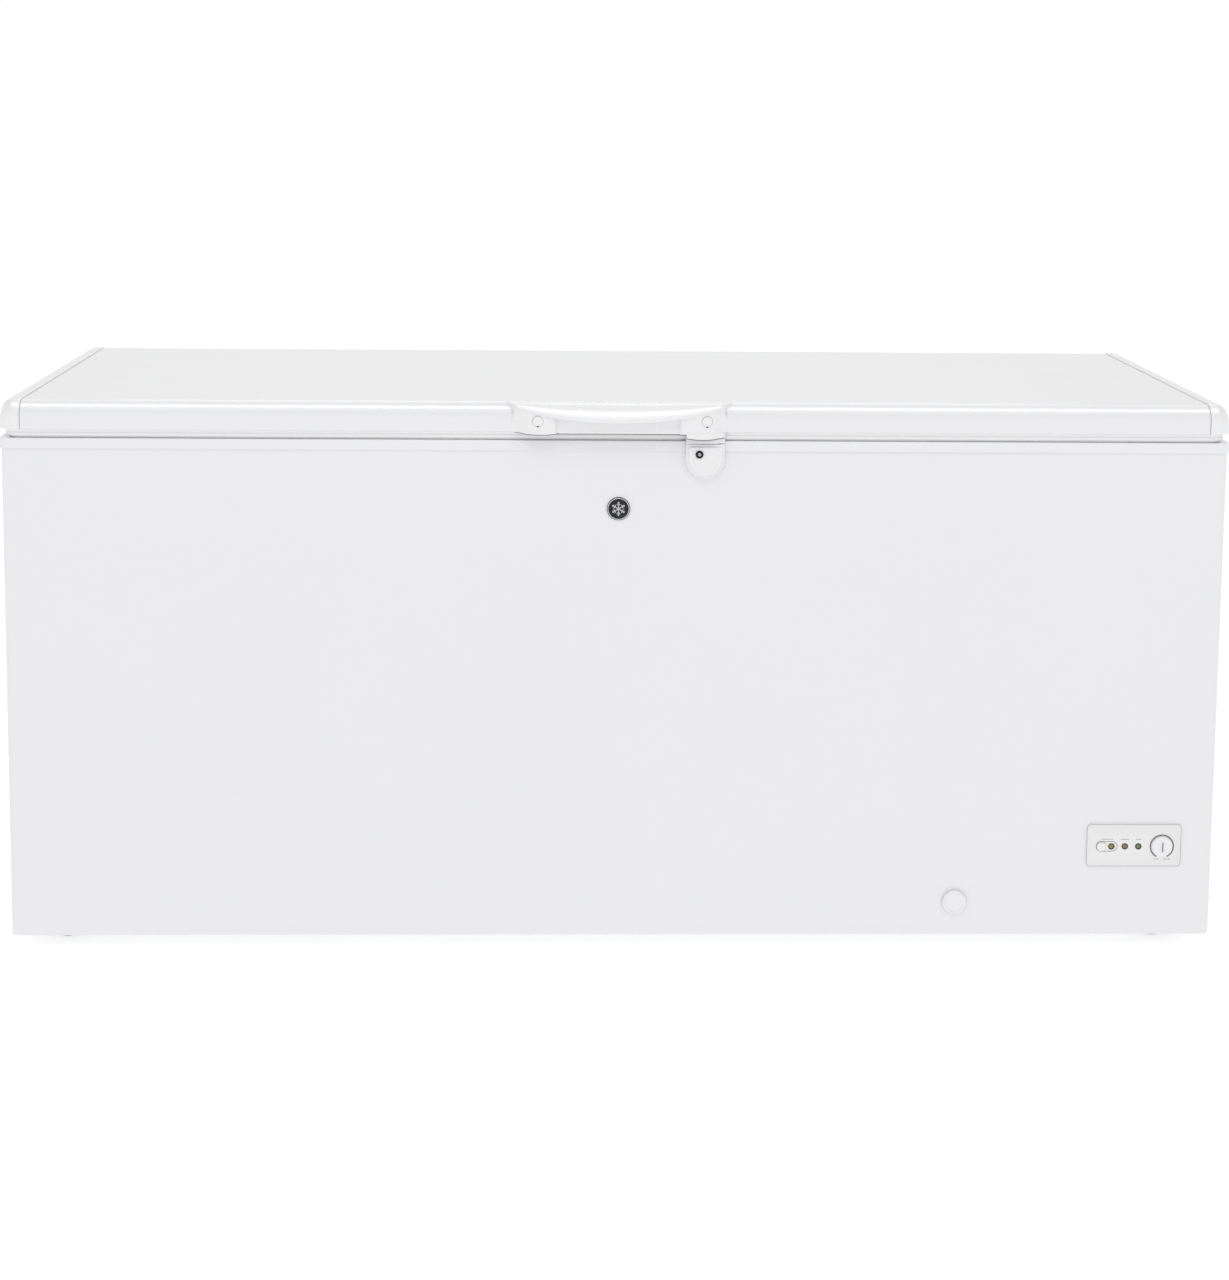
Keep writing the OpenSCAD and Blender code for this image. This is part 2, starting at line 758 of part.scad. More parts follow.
// One turn of the spring's centre line rises by the pitch
spring_steps = 14;
spring_sides = 8;
spring_height = spring_high - spring_low - 2*spring_wire - 1;
function coil_point(i) = [
  spring_r*cos(360*i/spring_steps),
  spring_r*sin(360*i/spring_steps),
  spring_low + spring_wire + 0.2 + spring_height*i/(spring_steps*spring_turns)];
function coil_ring(i) = [for (k = [0:spring_sides - 1])
  let (a = 360*i/spring_steps, b = 360*k/spring_sides)
  coil_point(i) + spring_wire*[cos(b)*cos(a), cos(b)*sin(a), sin(b)]];

module coil() {
  n = spring_steps*spring_turns;
  m = spring_sides;
  points = [for (i = [0:n], p = coil_ring(i)) p];
  walls = [for (i = [0:n - 1], k = [0:m - 1])
    [i*m + k, i*m + (k + 1) % m, (i + 1)*m + (k + 1) % m, (i + 1)*m + k]];
  ends = [[for (k = [m - 1:-1:0]) k], [for (k = [0:m - 1]) n*m + k]];
  polyhedron(points = points, faces = concat(walls, ends), convexity = 8);
}

module hinge_springs() {
  color([0.4, 0.4, 0.42]) each_hinge() translate([0, pin_y + 0.5, 0]) coil();
}

module spring_plungers() {
  top = pin_z - cam_r - plunger_gap;
  color([0.85, 0.85, 0.85]) each_hinge() translate([0, pin_y + 0.5, 0]) {
    translate([0, 0, spring_high]) cylinder(r = 9.5, h = 12);
    translate([0, 0, spring_high - 60]) cylinder(r = 5.5, h = 61);
    block(-8, 8, -3, 2, spring_high + 11, top);
  }
}

module hinge_screws() {
  color(grey) for (p = hinge_screw_places)
    rotate([0, 0, 180]) screw_y([-p.x, -p.y, p.z], 2, 4.2, 2.2, 9);
}

// Radius of the cam in a direction, in degrees
function cam_radius(a) = a < 270 ? cam_r : cam_r - cam_drop*(a - 270)/cam_turn;

module cam_plan() {
  polygon([for (a = [255:5:350]) cam_radius(a)*[cos(a), sin(a)], [5, 3], [-5, 3]]);
}

module hinge_leaves() {
  y0 = lid_back - cap_proud;
  color(grey) each_hinge() difference() {
    union() {
      block(-35, 35, y0, y0 + 2, lid_z + 2, lid_z + 38);
      for (s = [-1, 1]) {
        bar_x(pin_y, pin_z, ear_r - 0.5, s*19 - 1.2, s*19 + 1.2);
        block(s*19 - 1.2, s*19 + 1.2, y0 + 1, pin_y, pin_z + 1, pin_z + 7.4);
      }
      translate([-6, pin_y, pin_z]) rotate([90, 0, 90]) linear_extrude(12) cam_plan();
      bar_x(pin_y, pin_z, 5.5, -18, 18);
      block(-6, 6, y0 + 1, pin_y, pin_z + 2.2, pin_z + 5.2);
    }
    bar_x(pin_y, pin_z, pin_r + 0.05, -30, 30);
    for (s = [-1, 1]) bar_y(s*26, lid_z + lid_h/2, 2.1, y0 - 2, y0 + 5);
  }
}

module lid_hinge_screws() {
  color(grey) for (p = leaf_screw_places)
    rotate([0, 0, 180]) screw_y([-p.x, -p.y, p.z], 2, 4.2, 2.2, 12);
}

// Lid -----------------------------------------------------------------

// Side view of the lid as [y, z], shrunk by inset: round at the front and back top edges
module lid_side(inset) {
  y0 = lid_front + inset;
  y1 = lid_back - inset;
  z1 = lid_top - inset;
  rf = lid_front_r - inset;
  rb = lid_back_r - inset/2;
  intersection() {
    union() {
      translate([y0, lid_z]) square([rf, z1 - lid_z - rf]);
      translate([y0 + rf, lid_z]) square([y1 - y0 - rf - rb, z1 - lid_z]);
      translate([y1 - rb, lid_z]) square([rb, z1 - lid_z - rb]);
      translate([y0 + rf, z1 - rf]) circle(rf);
      translate([y1 - rb, z1 - rb]) circle(rb);
    }
    translate([y0 - 1, lid_z]) square([y1 - y0 + 2, z1 - lid_z + 1]);
  }
}

// The lid's side view drawn out along X
module lid_bar(inset, x0, x1) {
  translate([x0, 0, 0]) rotate([90, 0, 90]) linear_extrude(x1 - x0) lid_side(inset);
}

module lid_skin() {
  x = skin_w/2;
  color(white) difference() {
    lid_bar(cap_proud, -x, x);
    difference() {
      lid_bar(cap_proud + sheet, -x - 1, x + 1);
      block(-x - 2, x + 2, lid_front, lid_back, lid_z - 1, lid_z + sheet);
    }
    block(-x - 2, x + 2, lid_front + flange_w, lid_back - flange_w, lid_z - 1, lid_z + 3);
    for (p = leaf_screw_places) bar_y(p.x, p.z, 2.1, lid_back - 20, lid_back + 1);
    for (p = handle_screw_places) bar_y(p[0], p[1], 2.1, lid_front - 1, lid_front + 20);
  }
}

// Left end cap; the right one is its mirror image
module end_cap() {
  x0 = -lid_w/2;
  x1 = -skin_w/2 - seam_gap;
  edge = 15;
  wall_t = 2.5;
  difference() {
    intersection() {
      lid_bar(0, x0, x1);
      translate([0, lid_y, 0]) linear_extrude(2*lid_top) rrect(lid_w, lid_d, 24);
      translate([0, lid_back + 1, 0]) rotate([90, 0, 0]) linear_extrude(lid_d + 2) union() {
        translate([x0, 0]) square([lid_w, lid_top - edge]);
        translate([x0 + edge, 0]) square([lid_w - 2*edge, lid_top]);
        translate([x0 + edge, lid_top - edge]) circle(edge);
      }
    }
    block(x0 + edge/2, x1 + 1, lid_front + 18, lid_back - 18, lid_z + wall_t, lid_top - 8);
  }
}

module lid_cap_left() {
  color(white) end_cap();
}

module lid_cap_right() {
  color(white) mirror([1, 0, 0]) end_cap();
}

// Tray of the lid's inner liner
tray_x = cav_w/2 - 12;
tray_y0 = cav_front + 12;
tray_y1 = cav_back - 12;
tray_z = body_top + 4;
plate_z = lid_z + sheet;
plate_t = 1.5;

module lid_foam() {
  x = skin_w/2 - 3;
  inset = cap_proud + sheet + 0.6;
  color([0.95, 0.9, 0.7]) difference() {
    union() {
      intersection() {
        lid_bar(inset, -x, x);
        block(-x - 1, x + 1, lid_front, lid_back, plate_z + plate_t, lid_top);
      }
      block(-tray_x + 1.5, tray_x - 1.5, tray_y0 + 1.5, tray_y1 - 1.5, tray_z + 1.5,
        plate_z + plate_t + 1);
    }
    for (p = leaf_screw_places) bar_y(p.x, p.z, 5, lid_back - 20, lid_back + 1);
    for (p = handle_screw_places) bar_y(p[0], p[1], 5, lid_front - 1, lid_front + 26);
  }
}

module lid_liner() {
  x = skin_w/2 - 2;
  color(white) difference() {
    union() {
      block(-x, x, lid_front + 3, lid_back - 3, plate_z, plate_z + plate_t);
      block(-tray_x, tray_x, tray_y0, tray_y1, tray_z, plate_z + 0.5);
    }
    block(-tray_x + 1.5, tray_x - 1.5, tray_y0 + 1.5, tray_y1 - 1.5, tray_z + 1.5, lid_top);
  }
}

// Ring in plan whose outside is inset from the lid's edge
module gasket_plan(inset, w) {
  translate([0, lid_y]) difference() {
    rrect(lid_w - 2*inset, lid_d - 2*inset, 24 - inset/2);
    rrect(lid_w - 2*inset - 2*w, lid_d - 2*inset - 2*w, 6);
  }
}

module lid_gasket() {
  z0 = body_top + seal_gap;
  color([0.86, 0.86, 0.86]) {
    translate([0, 0, z0]) linear_extrude(5) gasket_plan(gasket_in - 3, gasket_w + 3);
    translate([0, 0, z0 + 4.5]) linear_extrude(lid_z - z0 - 4.5) gasket_plan(gasket_in, gasket_w);
  }
}

// Handle ----------------------------------------------------------------

handle_arc = (pow(handle_w/2, 2) + pow(handle_out, 2))/(2*handle_out);
visor_t = 5;
grip_x0 = -104;
grip_x1 = 89;
foot_out = 14;
plate_out = 6;
handle_low = lid_z - 4.5;

// Crescent in plan: the part of a wide circle in front of the lid
module crescent(inset) {
  intersection() {
    translate([0, lid_front - handle_out + handle_arc]) circle(handle_arc - inset, $fn = 96);
    translate([-handle_w/2, lid_front - handle_out]) square([handle_w, handle_out + lid_front_r]);
  }
}

// Solid crescent, cut off at the depth out in front of the lid, from x0 to x1 and z0 to z1
module crescent_block(inset, out, x0, x1, z0, z1) {
  intersection() {
    translate([0, 0, z0]) linear_extrude(z1 - z0) crescent(inset);
    block(x0, x1, lid_front - out, lid_front + 4, z0 - 1, z1 + 1);
  }
}

module handle() {
  drop = 17;
  end = handle_w/2 - 6;
  under = lid_top - drop - visor_t/2;
  color(white) difference() {
    union() {
      intersection() {
        linear_extrude(2*lid_top) crescent(0);
        translate([-handle_w, 0, 0]) rotate([90, 0, 90]) linear_extrude(2*handle_w) polygon([
          [lid_front - handle_out, lid_top - drop - visor_t],
          [lid_front - handle_out, lid_top - drop],
          [lid_front + lid_front_r, lid_top + 4],
          [lid_front + lid_front_r, lid_top - drop - visor_t]]);
        block(-handle_w, handle_w, lid_front - handle_out, lid_front + 20, 0, lid_top - 1);
      }
      crescent_block(1, foot_out, -end, grip_x0, handle_low, under);
      crescent_block(1, foot_out, grip_x1, end, handle_low, under);
      crescent_block(1, plate_out, grip_x0 - 1, grip_x1 + 1, handle_low, under);
    }
    lid_bar(cap_proud, -handle_w, handle_w);
    block(lock_x - lock_w/2 - 0.2, lock_x + lock_w/2 + 0.2, lid_front - 40, lid_front + 5,
      handle_low - 1, lid_z);
    for (p = handle_screw_places) {
      bar_y(p[0], p[1], 8.2, lid_front - 40, lid_front - 8);
      bar_y(p[0], p[1], 2.1, lid_front - 40, lid_front + 5);
    }
  }
}

module handle_screws() {
  color(grey) for (p = handle_screw_places)
    screw_y([p[0], lid_front - 8, p[1]], 2, 4.5, 2.4, 30);
}

module handle_screw_caps() {
  color(white) for (p = handle_screw_places) difference() {
    bar_y(p[0], p[1], 7.9, lid_front - foot_out - 0.5, lid_front - 8);
    bar_y(p[0], p[1], 5.5, lid_front - foot_out + 1.5, lid_front);
  }
}

module latch_striker() {
  y0 = lid_front - foot_out;
  y1 = front - collar_out - 1;
  color(white) difference() {
    block(lock_x - lock_w/2, lock_x + lock_w/2, y0, y1, tongue_low, lid_z);
    block(key_x - 4.2, key_x + 21, y0 + 11, y1 + 1, tongue_low - 1, tongue_low + 10);
    block(key_x - 13, key_x, y0 + 11, y1 + 1, sill_z, tongue_low + 10);
  }
}

// Dial and button ---------------------------------------------------------

module temperature_dial() {
  color([0.93, 0.93, 0.93]) translate([dial_x, front - fascia_t, lamp_z]) rotate([90, 0, 0]) {
    translate([0, 0, -14]) cylinder(r = shaft_r, h = 15);
    translate([0, 0, 0.4]) cylinder(r1 = dial_r, r2 = dial_r - 1, h = 7);
    translate([-3, -dial_r + 2, 7]) cube([6, 2*dial_r - 4, 6]);
  }
}

module alarm_button() {
  color(white) {
    bar_y(button_x, lamp_z, button_r, front - fascia_t - 3.4, front + 4);
    bar_y(button_x, lamp_z, button_r + 2.5, front + 0.4, front + 2.4);
    bar_y(button_x, lamp_z, 2.5, front + 3.5, front + 18);
  }
}

// Baskets -------------------------------------------------------------------

// Wire bent to a U in the XZ plane, open at the top
module u_wire(w, h, r) {
  for (s = [-1, 1]) translate([s*w/2, 0, bend_r]) cylinder(r = r, h = h - bend_r);
  translate([-w/2 + bend_r, 0, 0]) rotate([0, 90, 0]) cylinder(r = r, h = w - 2*bend_r);
  for (s = [-1, 1]) translate([s*(w/2 - bend_r), 0, bend_r]) rotate([90, 0, 0])
    rotate([0, 0, s < 0 ? 180 : 270]) rotate_extrude(angle = 90) translate([bend_r, 0]) circle(r);
}

// Wire bent to a closed rectangle
module ring_wire(w, d, r) {
  for (s = [-1, 1]) {
    translate([-w/2 + bend_r, s*d/2, 0]) rotate([0, 90, 0]) cylinder(r = r, h = w - 2*bend_r);
    translate([s*w/2, -d/2 + bend_r, 0]) rotate([-90, 0, 0]) cylinder(r = r, h = d - 2*bend_r);
  }
  for (i = [0:3]) {
    sx = (i == 0 || i == 3) ? 1 : -1;
    sy = i < 2 ? 1 : -1;
    translate([sx*(w/2 - bend_r), sy*(d/2 - bend_r), 0]) rotate([0, 0, 90*i])
      rotate_extrude(angle = 90) translate([bend_r, 0]) circle(r);
  }
}

cross_count = 7;
long_count = 9;

module basket() {
  bite = 0.4;
  lift = 2*wire_r - bite;
  for (i = [0:cross_count - 1])
    translate([(i - (cross_count - 1)/2)*basket_w/(cross_count + 0.4), 0, -basket_drop])
      rotate([0, 0, 90]) u_wire(basket_d, basket_drop, wire_r);
  for (i = [0:long_count - 1])
    translate([0, (i - (long_count - 1)/2)*basket_d/(long_count + 0.4), lift - basket_drop])
      u_wire(basket_w, basket_drop - lift, wire_r);
  for (z = [-125, -65]) translate([0, 0, z]) ring_wire(basket_w + 2*lift, basket_d + 2*lift, wire_r);
  ring_wire(basket_w, basket_d, rim_r);
  for (s = [-1, 1]) {
    translate([-basket_w/2 + 30, s*rail_y, 0]) rotate([0, 90, 0]) cylinder(r = rim_r, h = basket_w - 60);
    for (k = [-1, 0, 1]) translate([k*(basket_w/2 - 50), s*rail_y, 0]) rotate([90*s, 0, 0])
      cylinder(r = wire_r, h = 8);
  }
}

module basket_grips() {
  for (s = [-1, 1]) translate([s*basket_w/2, 0, 0]) difference() {
    translate([0, 45, 0]) rotate([90, 0, 0]) cylinder(r = 7, h = 90);
    translate([0, 50, 0]) rotate([90, 0, 0]) cylinder(r = rim_r + 0.2, h = 100);
    translate([-10, -50, -10]) cube([20, 100, 10]);
  }
}

module basket_left() {
  color([0.95, 0.95, 0.95]) translate([-basket_x, cav_y, rim_z]) basket();
}

module basket_right() {
  color([0.95, 0.95, 0.95]) translate([basket_x, cav_y, rim_z]) basket();
}

module basket_grips_left() {
  color([0.2, 0.35, 0.6]) translate([-basket_x, cav_y, rim_z]) basket_grips();
}

module basket_grips_right() {
  color([0.2, 0.35, 0.6]) translate([basket_x, cav_y, rim_z]) basket_grips();
}

outer_wrapper();
back_panel();
bottom_panel();
base_pan();
feet();
foam_insulation();
inner_liner();
top_collar();
condenser_coil();
evaporator_coil();
compressor();
compressor_grommets();
compressor_bolts();
relay_cover();
filter_drier();
refrigerant_tubes();
rear_cover();
side_grille();
cover_screws();
cord_gland();
control_fascia();
control_housing();
control_board();
thermostat();
alarm_led();
temperature_led();
power_led();
badge_ring();
badge_disc();
lock_cover();
lock_barrel();
drain_tube();
drain_outlet();
hinge_bases();
hinge_pins();
hinge_springs();
hinge_screws();
spring_plungers();
lid_skin();
lid_cap_left();
lid_cap_right();
lid_foam();
lid_liner();
lid_gasket();
handle();
handle_screws();
handle_screw_caps();
latch_striker();
hinge_leaves();
lid_hinge_screws();
temperature_dial();
alarm_button();
lock_plug();
lock_cam();
drain_cap();
drain_stopper();
basket_left();
basket_right();
basket_grips_left();
basket_grips_right();
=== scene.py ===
"""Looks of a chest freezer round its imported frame, drawn in millimetres: X right, Y back, Z up."""

from math import asin, cos, pi, radians, sin, sqrt

import bmesh
import bpy
from mathutils import Matrix, Vector


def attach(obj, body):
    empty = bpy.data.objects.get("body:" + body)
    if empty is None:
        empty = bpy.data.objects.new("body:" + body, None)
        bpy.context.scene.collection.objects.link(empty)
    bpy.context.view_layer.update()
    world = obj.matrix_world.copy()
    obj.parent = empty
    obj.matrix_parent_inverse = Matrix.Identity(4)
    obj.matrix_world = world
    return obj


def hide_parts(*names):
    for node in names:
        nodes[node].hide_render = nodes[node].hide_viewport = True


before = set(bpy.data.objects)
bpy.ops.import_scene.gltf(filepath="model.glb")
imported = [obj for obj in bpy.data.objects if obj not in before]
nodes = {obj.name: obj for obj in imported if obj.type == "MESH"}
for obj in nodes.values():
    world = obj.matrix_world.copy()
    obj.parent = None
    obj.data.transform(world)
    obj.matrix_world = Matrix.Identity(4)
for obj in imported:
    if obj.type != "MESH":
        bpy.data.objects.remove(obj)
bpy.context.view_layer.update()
MM = 0.001

# Camera ----------------
CAMERA_PLACE = (-0.1142, -3.8960, 1.3390)
CAMERA_YAW, CAMERA_PITCH, CAMERA_ROLL = (radians(a) for a in (1.711, 7.081, 0.526))


def add_camera():
    forward = Vector((sin(CAMERA_YAW) * cos(CAMERA_PITCH),
                      cos(CAMERA_YAW) * cos(CAMERA_PITCH), -sin(CAMERA_PITCH)))
    right = Vector((cos(CAMERA_YAW), -sin(CAMERA_YAW), 0))
    up = right.cross(forward)
    right_2 = cos(CAMERA_ROLL) * right + sin(CAMERA_ROLL) * up
    up_2 = -sin(CAMERA_ROLL) * right + cos(CAMERA_ROLL) * up
    camera = bpy.data.objects.new("camera", bpy.data.cameras.new("camera"))
    camera.data.lens = 67.41
    camera.data.sensor_width = 36
    camera.data.shift_y = -0.21
    camera.data.clip_end = 200
    turn = Matrix((right_2, up_2, -forward)).transposed().to_4x4()
    camera.matrix_world = Matrix.Translation(CAMERA_PLACE) @ turn
    bpy.context.scene.collection.objects.link(camera)
    bpy.context.scene.camera = camera


add_camera()


# Materials ----------------
class Nodes:
    """A material's node tree, with short ways to add and join nodes."""

    def __init__(self, name):
        self.material = bpy.data.materials.new(name)
        self.material.use_nodes = True
        self.tree = self.material.node_tree
        self.tree.nodes.clear()
        self.shader = self.add("ShaderNodeBsdfPrincipled")
        output = self.add("ShaderNodeOutputMaterial")
        self.join(self.shader.outputs[0], output.inputs["Surface"])
        self.place = self.add("ShaderNodeTexCoord").outputs["Object"]

    def add(self, kind, **values):
        node = self.tree.nodes.new(kind)
        for key, value in values.items():
            setattr(node, key, value)
        return node

    def join(self, out, into):
        self.tree.links.new(out, into)

    def stretched(self, scale):
        mapping = self.add("ShaderNodeMapping")
        mapping.inputs["Scale"].default_value = scale
        self.join(self.place, mapping.inputs["Vector"])
        return mapping.outputs["Vector"]

    def noise(self, scale, detail, stretch=None):
        node = self.add("ShaderNodeTexNoise")
        node.inputs["Scale"].default_value = scale
        node.inputs["Detail"].default_value = detail
        self.join(self.stretched(stretch) if stretch else self.place, node.inputs["Vector"])
        return node.outputs["Fac"]

    def cells(self, scale):
        node = self.add("ShaderNodeTexVoronoi")
        node.inputs["Scale"].default_value = scale
        self.join(self.place, node.inputs["Vector"])
        return node.outputs

    def spread(self, value, low, high, start=0.3, end=0.7):
        node = self.add("ShaderNodeMapRange")
        for key, number in (("From Min", start), ("From Max", end), ("To Min", low), ("To Max", high)):
            node.inputs[key].default_value = number
        self.join(value, node.inputs["Value"])
        return node.outputs["Result"]

    def blend(self, fac, a, b):
        """Colour a where fac is 0 and b where it is 1; a may be an output."""
        node = self.add("ShaderNodeMix", data_type="RGBA")
        self.join(fac, node.inputs["Factor"])
        for socket, colour in ((node.inputs[6], a), (node.inputs[7], b)):
            if isinstance(colour, tuple):
                socket.default_value = (*colour, 1)
            else:
                self.join(colour, socket)
        return node.outputs[2]

    def bumps(self, *layers):
        """Bump layers as (height, strength, distance in metres), the coarse one first."""
        normal = None
        for height, strength, distance in layers:
            node = self.add("ShaderNodeBump")
            node.inputs["Strength"].default_value = strength
            node.inputs["Distance"].default_value = distance
            self.join(height, node.inputs["Height"])
            if normal:
                self.join(normal, node.inputs["Normal"])
            normal = node.outputs["Normal"]
        self.join(normal, self.shader.inputs["Normal"])

    def edges(self):
        """0 on flat and hollow places, rising to 1 on sharp edges."""
        return self.spread(self.add("ShaderNodeNewGeometry").outputs["Pointiness"], 0, 1, 0.5, 0.56)

    def set(self, **values):
        for key, value in values.items():
            self.shader.inputs[key.replace("_", " ")].default_value = value


def darker(colour, by):
    return tuple(c * (1 - by) for c in colour)


def moulded(name, colour, rough=0.4, vary=0.04, grain=900, bump=0.25, edge=0.06, gloss=0.03, **values):
    """Moulded plastic or rubber: faint flow marks, fine grain, and edges rubbed lighter or darker."""
    n = Nodes(name)
    flow = n.spread(n.noise(9, 3), 0, 1)
    base = n.blend(flow, darker(colour, vary), colour)
    base = n.blend(n.edges(), base, tuple(min(1, c * (1 + edge)) for c in colour))
    n.join(base, n.shader.inputs["Base Color"])
    n.join(n.spread(n.noise(60, 2), rough - gloss, rough + gloss), n.shader.inputs["Roughness"])
    n.bumps((n.noise(12, 1), bump * 0.4, 0.0006), (n.noise(grain, 2), bump, 0.00006))
    n.set(**values)
    return n.material


def enamelled(name, colour, rough=0.2):
    """Powder-coated steel sheet: orange peel, slow waves in the sheet and a faint tone drift."""
    n = Nodes(name)
    drift = n.spread(n.noise(2.3, 3), 0, 1)
    base = n.blend(drift, darker(colour, 0.012), colour)
    base = n.blend(n.spread(n.noise(38, 5), 0, 0.5), base, darker(colour, 0.008))
    n.join(base, n.shader.inputs["Base Color"])
    n.join(n.spread(n.noise(9, 2), rough - 0.006, rough + 0.01), n.shader.inputs["Roughness"])
    n.bumps((n.noise(2.1, 1), 0.02, 0.002), (n.noise(160, 1), 0.02, 0.00004))
    return n.material


def metal(name, colour, rough=0.35, stretch=(1, 1, 1), scratch=0.3, tarnish=0.12):
    """Bare or plated metal: stretched scratches, cloudy tarnish and rubbed edges."""
    n = Nodes(name)
    cloud = n.spread(n.noise(14, 5), 0, 1)
    base = n.blend(cloud, darker(colour, tarnish), colour)
    base = n.blend(n.edges(), base, tuple(min(1, c * 1.12) for c in colour))
    n.join(base, n.shader.inputs["Base Color"])
    lines = n.noise(260, 4, stretch)
    n.join(n.spread(lines, rough - 0.08, rough + 0.12), n.shader.inputs["Roughness"])
    n.bumps((n.noise(30, 2), 0.1, 0.0004), (lines, scratch, 0.00006))
    n.set(Metallic=1.0)
    return n.material


def spangled(name, colour):
    """Hot-dip galvanised sheet: crystals of slightly different grey."""
    n = Nodes(name)
    crystals = n.add("ShaderNodeSeparateColor")
    n.join(n.cells(95)["Color"], crystals.inputs[0])
    tone = n.spread(crystals.outputs[0], 0, 1, 0, 1)
    base = n.blend(tone, darker(colour, 0.16), colour)
    base = n.blend(n.spread(n.noise(11, 5), 0, 0.45), base, darker(colour, 0.2))
    n.join(base, n.shader.inputs["Base Color"])
    n.join(n.spread(crystals.outputs[1], 0.38, 0.56, 0, 1), n.shader.inputs["Roughness"])
    n.bumps((n.noise(3, 1), 0.08, 0.002), (n.noise(300, 3), 0.2, 0.00008))
    n.set(Metallic=0.85)
    return n.material


def foamed(name, colour):
    """Cut polyurethane foam: open cells and uneven browning."""
    n = Nodes(name)
    cells = n.cells(520)
    base = n.blend(n.spread(n.noise(16, 5), 0, 1), darker(colour, 0.16), colour)
    n.join(base, n.shader.inputs["Base Color"])
    n.join(n.spread(n.noise(300, 3), 0.8, 0.98), n.shader.inputs["Roughness"])
    n.bumps((n.noise(40, 4), 0.5, 0.001), (cells["Distance"], 0.7, 0.0006))
    return n.material


def lens(name, colour):
    """Tinted lamp lens with moulded prisms inside."""
    n = Nodes(name)
    prisms = n.spread(n.noise(700, 2), 0, 1)
    n.join(n.blend(prisms, darker(colour, 0.25), colour), n.shader.inputs["Base Color"])
    n.join(n.spread(n.noise(220, 3), 0.1, 0.24), n.shader.inputs["Roughness"])
    n.bumps((n.noise(500, 1), 0.15, 0.0001),)
    n.set(Coat_Weight=0.5)
    return n.material


def circuit(name, colour):
    """Circuit board: solder mask over fine copper tracks."""
    n = Nodes(name)
    tracks = n.add("ShaderNodeTexBrick")
    tracks.inputs["Scale"].default_value = 55
    tracks.inputs["Color1"].default_value = (*colour, 1)
    tracks.inputs["Color2"].default_value = (*darker(colour, 0.15), 1)
    tracks.inputs["Mortar"].default_value = (*darker(colour, 0.5), 1)
    n.join(n.stretched((1, 1, 1.3)), tracks.inputs["Vector"])
    n.join(n.blend(n.spread(n.noise(30, 3), 0, 0.4), tracks.outputs["Color"], darker(colour, 0.3)),
           n.shader.inputs["Base Color"])
    n.join(n.spread(n.noise(200, 3), 0.25, 0.45), n.shader.inputs["Roughness"])
    n.bumps((tracks.outputs["Fac"], 0.3, 0.0001),)
    return n.material


WHITE = (0.80, 0.801, 0.816)
FINISHES = {
    "white_steel": enamelled("white_steel", WHITE),
    "white_plastic": moulded("white_plastic", (0.81, 0.81, 0.82), rough=0.27, vary=0.008, bump=0.02,
                             edge=0.01, gloss=0.005),
    "liner_white": enamelled("liner_white", (0.82, 0.825, 0.83), rough=0.24),
    "galvanised": spangled("galvanised", (0.62, 0.63, 0.64)),
    "zinc_screws": metal("zinc_screws", (0.68, 0.67, 0.62), rough=0.32),
    "black_steel": moulded("black_steel", (0.022, 0.022, 0.023), rough=0.34, vary=0.3, grain=500),
    "copper": metal("copper", (0.72, 0.36, 0.2), rough=0.28, tarnish=0.35),
    "rubber_black": moulded("rubber_black", (0.025, 0.025, 0.026), rough=0.72, vary=0.25),
    "gasket_grey": moulded("gasket_grey", (0.79, 0.79, 0.797), rough=0.58, vary=0.03),
    "foam": foamed("foam", (0.83, 0.74, 0.5)),
    "panel_white": moulded("panel_white", (0.752, 0.752, 0.757), rough=0.38, grain=1400),
    "black_plastic": moulded("black_plastic", (0.008, 0.008, 0.009), rough=0.42, vary=0.2,
                             Specular_IOR_Level=0.22),
    "board_green": circuit("board_green", (0.03, 0.2, 0.07)),
    "lens_olive": lens("lens_olive", (0.25, 0.21, 0.06)),
    "lens_amber": lens("lens_amber", (0.27, 0.18, 0.08)),
    "lens_green": lens("lens_green", (0.14, 0.19, 0.06)),
    "chrome_trim": metal("chrome_trim", (0.66, 0.66, 0.68), rough=0.14, tarnish=0.08, scratch=0.1),
    "badge_dark": moulded("badge_dark", (0.012, 0.013, 0.016), rough=0.3, vary=0.3, Specular_IOR_Level=0.3),
    "key_metal": metal("key_metal", (0.5, 0.5, 0.51), rough=0.3, stretch=(1, 1, 8)),
    "dial_grey": moulded("dial_grey", (0.13, 0.13, 0.135), rough=0.5, vary=0.12),
    "wire_white": moulded("wire_white", (0.79, 0.79, 0.785), rough=0.32, vary=0.06, grain=600),
    "grip_plastic": moulded("grip_plastic", (0.09, 0.2, 0.42), rough=0.42, vary=0.12),
}


# Mesh code ----------------
def arc(cx, cy, r, start, sweep, n):
    """n + 1 points round a centre, from the start angle over the sweep, in degrees."""
    angles = [radians(start + sweep * i / n) for i in range(n + 1)]
    return [(cx + r * cos(a), cy + r * sin(a)) for a in angles]


def rounded_rect(x0, x1, y0, y1, r, n=8):
    """Outline as (u, v) points, counter-clockwise, with 4 * (n + 1) points."""
    centres = ((x1 - r, y1 - r), (x0 + r, y1 - r), (x0 + r, y0 + r), (x1 - r, y0 + r))
    return [point for k, (cx, cy) in enumerate(centres) for point in arc(cx, cy, r, 90 * k, 90, n)]


def inset_rect(box, inset, r, n=8):
    """The rounded outline of box = (x0, x1, y0, y1), moved in by inset."""
    return rounded_rect(box[0] + inset, box[1] - inset, box[2] + inset, box[3] - inset, r, n)


def centred_rect(width, height, inset, r):
    return inset_rect((-width / 2, width / 2, -height / 2, height / 2), inset, r)


def facing_front(x, y, z):
    return lambda u, v, w: Vector((x + u, y - w, z + v))


def facing_up(x=0.0, y=0.0, z=0.0):
    return lambda u, v, w: Vector((x + u, y + v, z + w))


